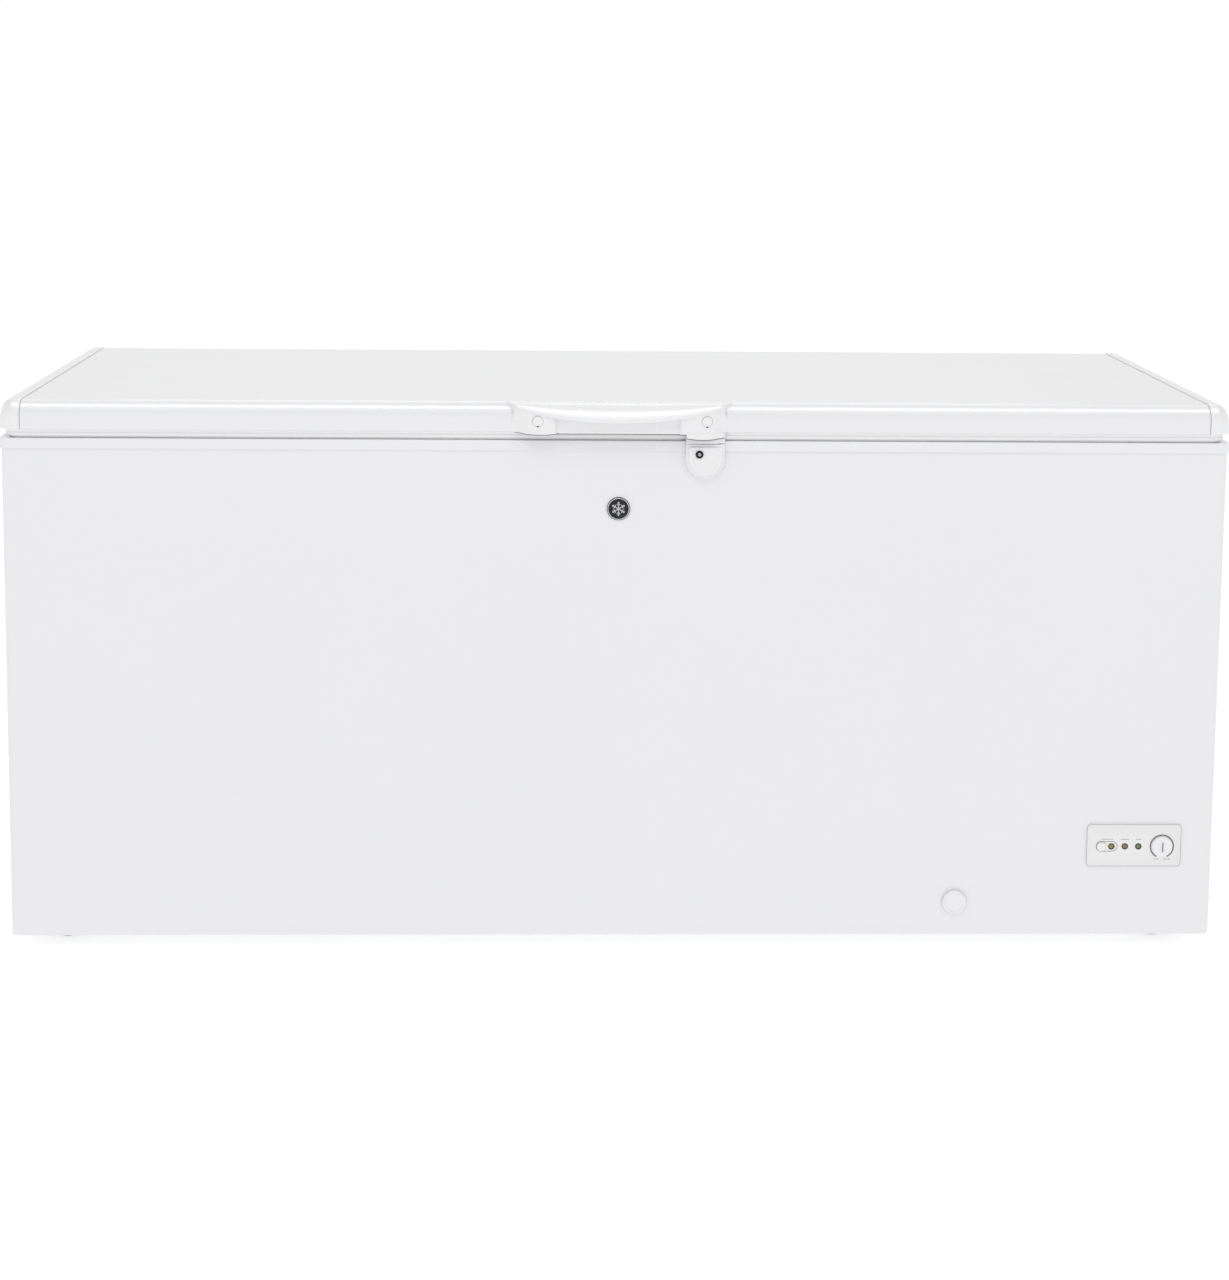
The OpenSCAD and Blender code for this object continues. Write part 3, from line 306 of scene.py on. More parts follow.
def made(shape, *args, **values):
    """A new bmesh that holds one shape."""
    bm = bmesh.new()
    shape(bm, *args, **values)
    return bm


def skin(bm, loops, ring=False, turn=0):
    """Joins closed loops of points with quads, and caps the ends. With ring, the last loop is joined to
    the first instead, which is turned by so many points."""
    rows = [[bm.verts.new(p) for p in loop] for loop in loops]
    count = len(rows[0])
    first = rows[0][turn:] + rows[0][:turn]
    for a, b in zip(rows, rows[1:] + ([first] if ring else [])):
        for i in range(count):
            j = (i + 1) % count
            bm.faces.new((a[i], a[j], b[j], b[i]))
    if not ring:
        bm.faces.new(rows[0][::-1])
        bm.faces.new(rows[-1])


def stack(bm, layers, place, ring=False):
    """A body through outlines at levels: layers are (outline, level)."""
    skin(bm, [[place(u, v, w) for u, v in outline] for outline, w in layers], ring)


def prism(bm, outline, low, high, place):
    stack(bm, [(outline, low), (outline, high)], place)


def lathe(bm, profile, place, n=64, ring=False):
    """A round body from (radius, level) pairs; a radius of 0 at an end becomes a small flat."""
    stack(bm, [(arc(0, 0, max(r, 0.02), 0, 360, n)[:-1], w) for r, w in profile], place, ring)


def edge_steps(r, n=5):
    """(inset, drop) pairs round a convex edge of radius r, from the wall to the top."""
    return [(r * (1 - cos(radians(90 * i / n))), r * (1 - sin(radians(90 * i / n))))
            for i in range(n + 1)]


def at_x(x, section):
    """The points of a (y, z) section at x."""
    return [(x, y, z) for y, z in section]


def tube(bm, path, r, sides=10, closed=False):
    """A round wire along a path of points."""
    points = [Vector(p) for p in path]
    count = len(points)
    tangents = []
    for i in range(count):
        before = points[i - 1] if i or closed else points[i]
        after = points[(i + 1) % count] if i < count - 1 or closed else points[i]
        tangents.append((after - before).normalized())
    side = tangents[0].orthogonal().normalized()
    loops = []
    for i in range(count):
        if i:
            side = tangents[i - 1].rotation_difference(tangents[i]) @ side
            side = (side - side.dot(tangents[i]) * tangents[i]).normalized()
        other = tangents[i].cross(side)
        loops.append([points[i] + r * (cos(a) * side + sin(a) * other)
                      for a in (2 * pi * k / sides for k in range(sides))])
    end = tangents[-1].rotation_difference(tangents[0]) @ side
    turn = min(range(sides), key=lambda k: (loops[0][k] - points[0] - r * end).length)
    skin(bm, loops, closed, turn)


def rounded_path(corners, r, n=6, closed=False):
    """A path through corners, each turned with a bend of radius r."""
    corners = [Vector(c) for c in corners]
    path = []
    for i, corner in enumerate(corners):
        if not closed and i in (0, len(corners) - 1):
            path.append(corner)
            continue
        a = (corners[i - 1] - corner).normalized()
        b = (corners[(i + 1) % len(corners)] - corner).normalized()
        centre = corner + (a + b) * r
        for k in range(n + 1):
            t = radians(90 * k / n)
            path.append(centre - b * r * cos(t) - a * r * sin(t))
    return path


def block(bm, x0, x1, y0, y1, z0, z1):
    prism(bm, [(x0, y0), (x1, y0), (x1, y1), (x0, y1)], z0, z1, facing_up())


def rod_y(bm, x, z, r, y0, y1, n=48):
    lathe(bm, [(r, 0), (r, y1 - y0)], facing_front(x, y1, z), n)


def mesh_of(bm):
    bmesh.ops.remove_doubles(bm, verts=bm.verts, dist=1e-4)
    bmesh.ops.recalc_face_normals(bm, faces=bm.faces)
    mesh = bpy.data.meshes.new("mesh")
    bm.to_mesh(mesh)
    bm.free()
    return mesh


def combined(bm, other, operation="DIFFERENCE"):
    """bm with other cut away from it or joined to it, as a new bmesh."""
    objects = []
    for source in (bm, other):
        obj = bpy.data.objects.new("tool", mesh_of(source))
        bpy.context.scene.collection.objects.link(obj)
        objects.append(obj)
    modifier = objects[0].modifiers.new("cut", "BOOLEAN")
    modifier.operation = operation
    modifier.object = objects[1]
    modifier.solver = "EXACT"
    graph = bpy.context.evaluated_depsgraph_get()
    mesh = bpy.data.meshes.new_from_object(objects[0].evaluated_get(graph))
    result = bmesh.new()
    result.from_mesh(mesh)
    for obj in objects:
        bpy.data.objects.remove(obj)
    return result


def soften(obj, width=0.0):
    """Rounds sharp edges by width in millimetres and keeps flat faces flat."""
    if width:
        bevel = obj.modifiers.new("rounding", "BEVEL")
        bevel.width = width * MM
        bevel.segments = 2
        bevel.limit_method = "ANGLE"
        bevel.angle_limit = radians(35)
        bevel.use_clamp_overlap = True
        bevel.miter_outer = "MITER_ARC"
    shade = obj.modifiers.new("flat_faces", "WEIGHTED_NORMAL")
    shade.keep_sharp = True


def piece(name, bm, slot, body="root", replaces=None, sharp=38):
    """Makes one visible piece from a bmesh in millimetres."""
    mesh = mesh_of(bm)
    mesh.transform(Matrix.Scale(MM, 4))
    mesh.name = name
    obj = bpy.data.objects.new(name, mesh)
    bpy.context.scene.collection.objects.link(obj)
    mesh.shade_smooth()
    mesh.set_sharp_from_angle(angle=radians(sharp))
    mesh.materials.append(FINISHES[slot])
    soften(obj)
    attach(obj, body)
    if replaces:
        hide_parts(replaces)
    return obj


# Cabinet ----------------
FRONT, BACK, SIDE, BOTTOM, SHEET = -337.0, 353.0, 924.0, 20.0, 0.8
CAVITY_Y0, CAVITY_Y1, CAVITY_X, FLOOR_Z = -267.0, 283.0, 854.0, 90.0
STEP_X, STEP_Z = 590.0, 360.0
PANEL_X, PANEL_Z = 800.5, 164.0
LAMP_Z = PANEL_Z - 1.5
BUTTON_X, DIAL_X = PANEL_X - 50.9, PANEL_X + 43.7
LAMP_XS = [PANEL_X - 34.8 + 20.95 * k for k in range(3)]
DRAIN_X, DRAIN_Z, DRAIN_FLOOR_Y = 524.5, 74.0, FRONT + 130
LOCK_X, KEY_X, KEY_Z = 129.6, 120.6, 772.6
BADGE_Z = 688.0
LID_FRONT, LID_BACK, LID_Z, LID_TOP = -347.0, 353.0, 806.0, 850.0


def shell_path(inset):
    """The shell in plan from the back left, round the front, to the back right, moved in by inset."""
    r = 10.0
    left = arc(-SIDE + r, FRONT + r, r - inset, 180, 90, 8)
    right = arc(SIDE - r, FRONT + r, r - inset, 270, 90, 8)
    return [(-SIDE + inset, BACK - SHEET)] + left + right + [(SIDE - inset, BACK - SHEET)]


def outer_wrapper():
    bend, top, flange = 3.8, 788.0, 9.5
    section = [(0.0, top)] + [(i, BOTTOM + d) for i, d in edge_steps(bend, 6)] + [(flange, BOTTOM)]
    section += [(flange, BOTTOM + SHEET)]
    section += [(SHEET + i, BOTTOM + SHEET + d) for i, d in edge_steps(bend - SHEET, 6)[::-1]]
    section += [(SHEET, top)]
    strips = [[(x, y, z) for x, y in shell_path(inset)] for inset, z in section]
    bm = made(skin, list(zip(*strips)))
    holes = made(block, PANEL_X - 63.5, PANEL_X + 63.5, FRONT - 2, FRONT + 2, PANEL_Z - 25, PANEL_Z + 25)
    rod_y(holes, DRAIN_X, DRAIN_Z, 12.2, FRONT - 2, FRONT + 2)
    block(holes, SIDE - 3, SIDE + 2, -140, 140, 92, 248)
    piece("cabinet_shell", combined(bm, holes), "white_steel", replaces="outer_wrapper")


def collar():
    top, low = 792.0, 776.0

    def shape(box, inset, r):
        return inset_rect(box, inset, max(r - inset, 0.5), 10)

    outer = (-926.5, 926.5, -339.5, 353.0)
    opening = (-851.0, 851.0, -264.0, 280.0)
    ledge_edge = (-836.0, 836.0, -249.0, 265.0)
    cavity = (-853.7, 853.7, -266.7, 282.7)
    shell = (-924.3, 924.3, -337.3, 351.2)
    loops = [(shape(outer, 0.5, 12.5), low), (shape(outer, 0, 12.5), low + 0.5)]
    loops += [(shape(outer, i, 12.5), top - d) for i, d in edge_steps(1.6)]
    loops += [(shape(opening, -i, 17), top - d) for i, d in reversed(edge_steps(1.4))]
    loops += [(shape(opening, 0, 17), 768.0), (shape(opening, 1.5, 17), 766.5)]
    loops += [(shape(ledge_edge, i, 20), z) for i, z in ((-1, 766.5), (0, 765.5), (0, 764.0))]
    loops += [(shape(cavity, 0, 20), 764.0), (shape(cavity, 0, 20), 789.0)]
    loops += [(shape(shell, 0, 10.3), 789.0), (shape(shell, 0, 10.3), low)]
    cutter = made(block, -940, 940, 351.0, 360, 700, 789)
    bm = combined(made(stack, loops, facing_up(), ring=True), cutter)
    piece("collar", bm, "white_steel", replaces="top_collar")


def liner():
    top, r, fillet = 788.0, 20, 12

    def space(x0, x1, floor):
        """A box between two sides with round corners and a round edge at its floor."""
        box = (x0, x1, CAVITY_Y0, CAVITY_Y1)
        loops = [(inset_rect(box, i, max(r - i, 3)), floor + d) for i, d in edge_steps(fillet, 6)[::-1]]
        return made(stack, loops + [(inset_rect(box, 0, r), top)], facing_up())

    bm = combined(space(-CAVITY_X, STEP_X, FLOOR_Z), space(STEP_X - 60, CAVITY_X, STEP_Z), "UNION")
    bm.faces.ensure_lookup_table()
    lids = [f for f in bm.faces if min(v.co.z for v in f.verts) > top - 0.5]
    bmesh.ops.delete(bm, geom=lids, context="FACES")
    bmesh.ops.recalc_face_normals(bm, faces=bm.faces)
    if sum(f.normal.z * f.calc_area() for f in bm.faces) > 0:
        bmesh.ops.reverse_faces(bm, faces=bm.faces)
    obj = bpy.data.objects.new("tool", mesh_of(bm))
    bpy.context.scene.collection.objects.link(obj)
    thick = obj.modifiers.new("sheet", "SOLIDIFY")
    thick.thickness = 1.0
    thick.offset = 1.0
    thick.use_even_offset = True
    mesh = bpy.data.meshes.new_from_object(obj.evaluated_get(bpy.context.evaluated_depsgraph_get()))
    bpy.data.objects.remove(obj)
    bm = bmesh.new()
    bm.from_mesh(mesh)
    drain = made(lathe, [(9.2, 0), (9.2, 20)], facing_up(DRAIN_X, DRAIN_FLOOR_Y, FLOOR_Z - 10))
    piece("liner", combined(bm, drain), "liner_white", replaces="inner_liner")


def underside():
    """The sheets that close the bottom, set in from the shell's rounded lower edge."""
    low = BOTTOM + SHEET
    outline = rounded_rect(-SIDE + 4, 659.5, FRONT + 4, BACK - 2, 6, 4)
    bm = made(prism, outline, low, low + SHEET, facing_up())
    piece("bottom_sheet", bm, "galvanised", replaces="bottom_panel")
    section = ((1.5, low), (0.4, low + 0.5), (0, low + 1.6), (0, 33.4), (0.4, 34), (1.6, 34), (2, 33.4),
               (2, low + 3.4), (2.6, low + 2.5), (4, low + 2.2))
    outer = (660.0, SIDE - 4, FRONT + 4, BACK - 2)
    bm = made(stack, [(inset_rect(outer, i, 6 - i, 6), z) for i, z in section], facing_up())
    piece("machine_tray", bm, "galvanised", replaces="base_pan")


def feet():
    bm = bmesh.new()
    profile = [(17, 0), (19.5, 0), (21, 0.8), (21.8, 2), (24, 2.6), (24, 4.2), (23.2, 5), (22, 5.6),
               (22, 19.6), (21, 20.6)]
    for x in (-849, 849):
        for y in (-262, 278):
            lathe(bm, profile, facing_up(x, y, 0), 48)
    piece("feet_pads", bm, "rubber_black", replaces="feet")


# Control panel, lock, badge and drain ----------------
def plate(bm, place, width, height, r, thick, edge=1.0):
    """A plate whose front edge is rounded."""
    section = [(0, 0), (0, thick - edge)] + [(i, thick - d) for i, d in edge_steps(edge)[1:]]
    stack(bm, [(centred_rect(width, height, i, max(r - i, 0.5)), w) for i, w in section], place)


def frame_ring(bm, place, width, height, r, line, low, high, edge=0.1):
    """A raised outline: a rounded rectangle ring of the given line width."""
    section = ((0, low), (0, high - edge), (edge, high),
               (line - edge, high), (line, high - edge), (line, low))
    stack(bm, [(centred_rect(width, height, i, max(r - i, 0.3)), w) for i, w in section], place, ring=True)


def arc_band(bm, place, radius, width, start, end, low, high, n=64):
    """A raised band along an arc, in degrees from the u axis."""
    inner, outer, edge = radius - width / 2, radius + width / 2, 0.15
    corners = ((inner, low), (outer, low), (outer, high - edge), (outer - edge, high),
               (inner + edge, high), (inner, high - edge))
    rails = [[place(u, v, w) for u, v in arc(0, 0, r, start, end - start, n)] for r, w in corners]
    skin(bm, list(zip(*rails)))


def control_panel():
    place = facing_front(PANEL_X, FRONT, PANEL_Z)
    bm = made(plate, place, 147, 67, 6.4, 3)
    holes = made(rod_y, BUTTON_X, LAMP_Z, 7.3, FRONT - 6, FRONT + 2)
    for x in LAMP_XS:
        rod_y(holes, x, LAMP_Z, 4.2, FRONT - 6, FRONT + 2, 32)
    rod_y(holes, DIAL_X, LAMP_Z, 3.4, FRONT - 6, FRONT + 2, 32)
    piece("control_plate", combined(bm, holes), "panel_white", replaces="control_fascia")

    # The first ring, on the plate's own edge, is painted shadow for the gap round the plate; the button
    # outline, the dial's arc and the dashes are print.
    lines = made(frame_ring, place, 146.2, 66.2, 6.0, 0.48, 2.2, 3.05)
    frame_ring(lines, facing_front(BUTTON_X + 8.7, FRONT, LAMP_Z), 33.2, 16.3, 8.1, 0.8, 2.8, 3.2)
    arc_band(lines, facing_front(DIAL_X, FRONT, LAMP_Z), 17.9, 2.0, -63, 243, 2.8, 3.25)
    dash_pitch, dash_share = 1.6, 0.36
    for x, v, half in ((BUTTON_X + 9.5, 11.2, 9.0), (LAMP_XS[1], 11.2, 6.5), (LAMP_XS[2], 11.2, 4.4),
                       (DIAL_X - 8.5, -20.2, 3.6), (DIAL_X + 8.2, -20.2, 5.6)):
        count = max(2, round(half / dash_pitch))
        step = 2 * half / count
        dash = rounded_rect(-step * dash_share, step * dash_share, -0.45, 0.45, 0.4, 3)
        for i in range(count):
            prism(lines, dash, 2.8, 3.08, facing_front(x - half + step * (i + 0.5), FRONT, LAMP_Z + v))
    piece("panel_print_and_edge_shadow", lines, "dial_grey")

    place = facing_front(DIAL_X, FRONT, LAMP_Z)
    knob = made(lathe, [(3.0, -10), (3.0, 3.4), (15.6, 3.4), (16.0, 3.9), (15.9, 5.4), (15.4, 6.5),
                        (14.2, 7.2), (12.5, 7.4), (0, 7.2)], place, 72)
    loops = []
    for i in range(13):
        v = -9.6 + 19.2 * i / 12
        half = 1.9 * sqrt(max(0.05, 1 - (abs(v) / 9.8) ** 6))
        top = 9.0 - 0.8 * (abs(v) / 9.6) ** 4
        loops.append([place(side * half, v, w) for side, w in (
            (-1, 6.4), (1, 6.4), (0.85, top - 0.5), (0.6, top), (-0.6, top), (-0.85, top - 0.5))])
    knob = combined(knob, made(skin, loops), "UNION")
    piece("dial_knob", knob, "white_plastic", "dial", "temperature_dial", sharp=50)
    pointer = made(prism, rounded_rect(-0.85, 0.85, -7.6, 7.6, 0.8, 4), 8.4, 9.08, place)
    piece("dial_pointer", pointer, "dial_grey", "dial")

    button = made(lathe, [(2.5, -18), (2.5, -3.6), (9.5, -2.4), (9.5, -0.4), (7.0, -0.4), (7.0, 5.4),
                          (6.7, 6.1), (6.0, 6.4), (4.5, 6.2), (0, 6.0)],
                  facing_front(BUTTON_X, FRONT, LAMP_Z), 56)
    piece("push_button", button, "white_plastic", "button", "alarm_button")

    bezels = bmesh.new()
    for x in LAMP_XS:
        lathe(bezels, [(4.15, 1.0), (5.0, 2.9), (5.0, 3.2), (4.7, 3.45), (4.25, 3.3), (4.1, 2.9),
                       (4.05, 1.0)], facing_front(x, FRONT, LAMP_Z), 48, ring=True)
    piece("lamp_bezels", bezels, "black_plastic")
    dome = [(4.0 * cos(radians(a)), 2.3 + 1.25 * sin(radians(a))) for a in range(0, 90, 12)]
    for x, name, tint in zip(LAMP_XS, ("alarm", "temperature", "power"), ("olive", "amber", "green")):
        place = facing_front(x, FRONT, LAMP_Z)
        bm = made(lathe, [(2.4, -20), (2.4, -6), (4.0, -5)] + dome + [(0, 3.55)], place, 40)
        piece(name + "_lens", bm, "lens_" + tint, replaces=name + "_led")


def shield(inset, top=788.2):
    """Outline of the lock cover: a half round below a square top with slightly round corners."""
    full, low = 58.5 / 2, 736.0
    half = full - inset
    r = min(2.0, half * 0.5)
    corner_z = top - min(inset, 6) - r
    return (arc(0, low + full, half, 180, 180, 24) + arc(half - r, corner_z, r, 0, 90, 4)
            + arc(-half + r, corner_z, r, 90, 90, 4))


def lock():
    place = facing_front(LOCK_X, FRONT, 0)
    section = [(0, 0), (0, 7.6)] + [(i, 9 - d) for i, d in edge_steps(1.4)[1:]]
    section += [(3.6, 9.0), (4.2, 9.6), (4.3, 11.0), (4.7, 11.8), (5.4, 12.0), (8.5, 12.0), (9.6, 11.4),
                (13, 10.9), (22, 10.6)]
    bm = made(stack, [(shield(i), w) for i, w in section], place)
    bm = combined(bm, made(prism, shield(7, top=800.0), -1, 8.4, place))
    bm = combined(bm, made(block, LOCK_X - 40, LOCK_X + 40, FRONT - 2.9, FRONT + 1, 775.6, 800))
    bm = combined(bm, made(rod_y, KEY_X, KEY_Z, 6.0, FRONT - 20, FRONT + 2))
    piece("lock_shield", bm, "white_plastic", replaces="lock_cover")

    place = facing_front(KEY_X, FRONT, KEY_Z)
    barrel = made(lathe, [(5.7, 9.4), (5.7, 12.5), (5.5, 13.0), (4.9, 13.2), (4.3, 13.1), (4.05, 12.8),
                          (4.05, 9.4)], place, 48, ring=True)
    rear = made(lathe, [(3.2, 0.0), (3.2, 6.1), (2.05, 6.1), (2.05, 0.0)], place, 32, ring=True)
    piece("lock_ring", combined(barrel, rear, "UNION"), "black_plastic", replaces="lock_barrel")
    plug = made(lathe, [(2.0, 1.2), (2.0, 6.4), (4.0, 6.5), (4.0, 12.2), (3.7, 12.35), (2.6, 12.3),
                        (0, 12.3)], place, 40)
    piece("key_plug", plug, "black_plastic", "key_lock", "lock_plug")
    face = made(lathe, [(2.6, 12.0), (2.6, 12.6), (2.3, 12.85), (0, 12.9)], place, 40)
    way = made(prism, rounded_rect(-1.9, 1.9, -0.45, 0.45, 0.4, 4), 12.2, 14, place)
    piece("key_way", combined(face, way), "key_metal", "key_lock")


def badge():
    place = facing_front(0, FRONT, BADGE_Z)
    rim = made(lathe, [(16.7, 0), (16.7, 1.8), (16.5, 2.6), (16.1, 3.0), (15.6, 2.95), (15.1, 2.4),
                       (14.9, 1.5), (14.9, 0)], place, 96, ring=True)
    piece("badge_rim", rim, "chrome_trim", replaces="badge_ring")
    # A thin dark ring round the chrome rim is painted shadow for the gap round the badge.
    shadow_ring = made(lathe, [(17.5, 0), (17.5, 1.4), (17.3, 1.7), (16.75, 1.7), (16.75, 0)], place, 96, ring=True)
    piece("badge_shadow_ring", shadow_ring, "badge_dark")
    disc = made(lathe, [(14.9, 0), (14.9, 1.7), (14.4, 2.0), (10, 2.15), (0, 2.2)], place, 96)
    piece("badge_face", disc, "badge_dark", replaces="badge_disc")
    flake = bmesh.new()

    def ray(angle):
        return Vector((cos(radians(angle)), sin(radians(angle))))

    def bar(start, angle, length, half):
        """A raised bar from start along an angle, a little longer at its foot."""
        along = ray(angle)
        across = Vector((-along.y, along.x)) * half
        end = start + along * length
        loops = []
        for grow, w in ((0.3, 2.0), (0.3, 2.6), (0.0, 2.8)):
            cap = along * half * 0.7 * grow
            corners = (start - across - cap, start + across - cap, end + across + cap, end - across + cap)
            loops.append([place(*corner, w) for corner in corners])
        skin(flake, loops)

    for angle in range(90, 450, 60):
        bar(0.6 * ray(angle), angle, 10.0, 0.55)
        for at, reach in ((5.2, 3.4), (8.0, 2.2)):
            for side in (-1, 1):
                bar(at * ray(angle), angle + side * 55, reach, 0.42)
    piece("badge_flake", flake, "chrome_trim")


def drain():
    cap = made(lathe, [(7.4, -16), (8.6, -15), (8.6, 2.0), (18.0, 2.0), (18.5, 2.5), (18.5, 4.0), (18.1, 5.2),
                       (17.2, 6.0), (16.0, 6.4), (15.2, 6.25), (14.5, 5.5), (13.7, 5.0), (6, 5.1), (0, 5.15)],
               facing_front(DRAIN_X, FRONT, DRAIN_Z), 80)
    piece("drain_lid", cap, "white_plastic", "drain_plug", "drain_cap")
    plug = made(lathe, [(5.6, -9), (6.4, -8.4), (6.4, 0.3), (14.4, 0.3), (15, 0.8), (15, 2.5), (14.2, 3.3),
                        (5.2, 3.6), (4.2, 4.4), (4, 6), (4, 9.6), (6.2, 10.2), (7, 11), (7, 12.2), (6.3, 13),
                        (0, 13)], facing_up(DRAIN_X, DRAIN_FLOOR_Y, FLOOR_Z))
    piece("floor_plug", plug, "white_plastic", "floor_stopper", "drain_stopper")


# Lid ----------------
def lid_profile(front, back, top, low, r_front, r_back, fold=0.0, n=16):
    """Side view of the lid as (y, z), from the low front corner over the top to the low back corner."""
    hem = edge_steps(fold, 3)[::-1] if fold else [(0, 0)]
    return ([(front + i, low + d) for i, d in hem]
            + arc(front + r_front, top - r_front, r_front, 180, -90, n)
            + arc(back - r_back, top - r_back, r_back, 90, -90, n)
            + [(back - i, low + d) for i, d in hem[::-1]])


def lid_skin():
    front, back, top = LID_FRONT + 1.5, LID_BACK - 1.5, LID_TOP - 1.5
    outer = lid_profile(front, back, top, LID_Z, 24.5, 7.25, fold=1.6)
    inner = lid_profile(front + SHEET, back - SHEET, top - SHEET, LID_Z + SHEET, 24.5 - SHEET, 7.25 - SHEET,
                        fold=0.8)
    flange, half = 22.0, 892.5
    section = [(LID_FRONT + flange, LID_Z)] + outer + [(LID_BACK - flange, LID_Z)]
    section += [(LID_BACK - flange, LID_Z + SHEET)] + inner[::-1] + [(LID_FRONT + flange, LID_Z + SHEET)]
    bm = made(skin, [at_x(-half + 2 * half * i / 18, section) for i in range(19)])
    piece("lid_sheet", bm, "white_steel", "lid", "lid_skin", sharp=32)


def lid_caps():
    """The lid's plastic ends: rounded over their last 24 mm, with a fine seam where they meet the sheet."""
    steps = sorted({round(24 * (1 - cos(radians(5 * i))), 3) for i in range(19)} | {29.0, 33.2, 33.6, 33.9})
    for side, name in ((-1, "left"), (1, "right")):
        loops = []
        for e in steps:
            bend = 1 - sqrt(1 - max(0, 1 - e / 24) ** 2)
            plan, up = 24 * bend, 23 * bend
            seam = max(0, e - 33.2) ** 2 * 1.2
            points = lid_profile(LID_FRONT + plan + seam, LID_BACK - plan - seam, LID_TOP - up - seam, LID_Z,
                                 min(26, LID_TOP - up - LID_Z - 2), 8, fold=1.2)
            loops.append(at_x(side * (927 - e), points))
        piece("lid_end_" + name, made(skin, loops), "white_plastic", "lid", "lid_cap_" + name, sharp=42)


def lid_underside():
    rim = (-891.0, 891.0, -344.0, 350.0)
    tray = (-842.0, 842.0, -255.0, 271.0)
    low, rim_z, rim_top = 796.0, 806.8, 808.3
    inside = [(tray, 60, 12, low + 1.5), (tray, 5.2, 24, low + 1.5), (tray, 1.5, 25.5, low + 5),
              (tray, 1.5, 25.5, rim_top)]
    outside = [(rim, 0, 3, rim_top), (rim, 0, 3, rim_z), (tray, -3, 30, rim_z),
               (tray, -0.8, 28, rim_z - 0.8), (tray, 0, 27, rim_z - 3), (tray, 0, 27, low + 4),
               (tray, 1.2, 26, low + 1.2), (tray, 4, 24, low), (tray, 34, 18, low),
               (tray, 36, 17, low + 0.9), (tray, 60, 12, low + 0.9)]
    loops = [(inset_rect(box, inset, r), z) for box, inset, r, z in inside + outside]
    piece("lid_tray", made(stack, loops, facing_up()), "liner_white", "lid", "lid_liner")

    foam = made(stack, [(inset_rect(tray, 6, 23), low + 1.6), (inset_rect(tray, 1.8, 25), low + 5.4),
                        (inset_rect(tray, 1.8, 25), rim_z + 2)], facing_up())
    section = lid_profile(LID_FRONT + 2.9, LID_BACK - 2.9, LID_TOP - 2.9, rim_top, 23.1, 6)
    upper = made(skin, [at_x(x, section) for x in (-890, -300, 300, 890)])
    piece("lid_core", combined(foam, upper, "UNION"), "foam", "lid", "lid_foam")


def gasket():
    section = [(8.4, 806), (8.4, 801.6), (9.0, 801.0), (9.0, 800.5), (8.4, 799.9), (8.2, 796.6), (8.6, 796.0),
               (8.4, 795.8), (9.2, 795.0), (11.0, 794.6), (12.0, 794.0), (12.3, 793.0), (13.0, 792.3),
               (32, 792.3),
               (33, 793.2), (33, 796.4), (31, 797.4), (31.4, 800), (33, 801.6), (33, 806)]
    loops = []
    for inset, z in section:
        corner = 24 - inset / 2 if inset < 20 else max(6, 19 - inset / 2)
        loops.append((inset_rect((-927, 927, LID_FRONT, LID_BACK), inset, corner, 10), z))
    bm = made(stack, loops, facing_up(), ring=True)
    piece("lid_seal", bm, "gasket_grey", "lid", "lid_gasket")


# Handle ----------------
HANDLE_R = 496.7
HANDLE_TIP = 170.0
PLATE_FACE = -355.0
FOOT_END = 161.5
VISOR_SLOPE = 58.0
FOOT_LOW, HORN_LOW = 804.0, 829.0
WRAP_START = 146.0
LID_FACE, LID_SHOULDER, LID_ROUND = -345.5, 824.0, 24.5


def smooth(t):
    t = min(1, max(0, t))
    return t * t * (3 - 2 * t)


def crescent_y(x):
    """Front edge of the handle in plan."""
    return -377 + HANDLE_R - sqrt(HANDLE_R ** 2 - x * x)


def lid_surface(z):
    """Depth of the lid's front face at a height."""
    if z <= LID_SHOULDER:
        return LID_FACE
    return LID_FACE + LID_ROUND - sqrt(max(0, LID_ROUND ** 2 - (z - LID_SHOULDER) ** 2))


def foot_face(x):
    """Depth of the handle's lower face at x: two feet that follow the crescent, and a plate between them."""
    inner = smooth((-x - 92.5) / 5) if x < 0 else smooth((x - 87.5) / 5)
    foot = max(-361.0, crescent_y(x) + 1.0)
    face = PLATE_FACE + (foot - PLATE_FACE) * inner
    a = abs(x)
    if a > 139:
        fade = smooth((a - 139) / (FOOT_END + 1.5 - 139))
        face += (LID_FACE - 0.4 - face) * fade
    return face


def foot_base(x):
    """Height of the handle's lower edge at x, up to where the lid's round front starts."""
    base = FOOT_LOW
    if x < -90:
        base += -1.2 * smooth((-x - 96) / 16) + 2.2 * smooth((-x - 128) / 30)
    elif x > 85:
        base += 2.0 * smooth((x - 150) / 10)
    end_round = 0.9
    if abs(x) > FOOT_END - end_round:
        base += (HORN_LOW - base) * smooth((abs(x) - FOOT_END + end_round) / end_round)
    return base


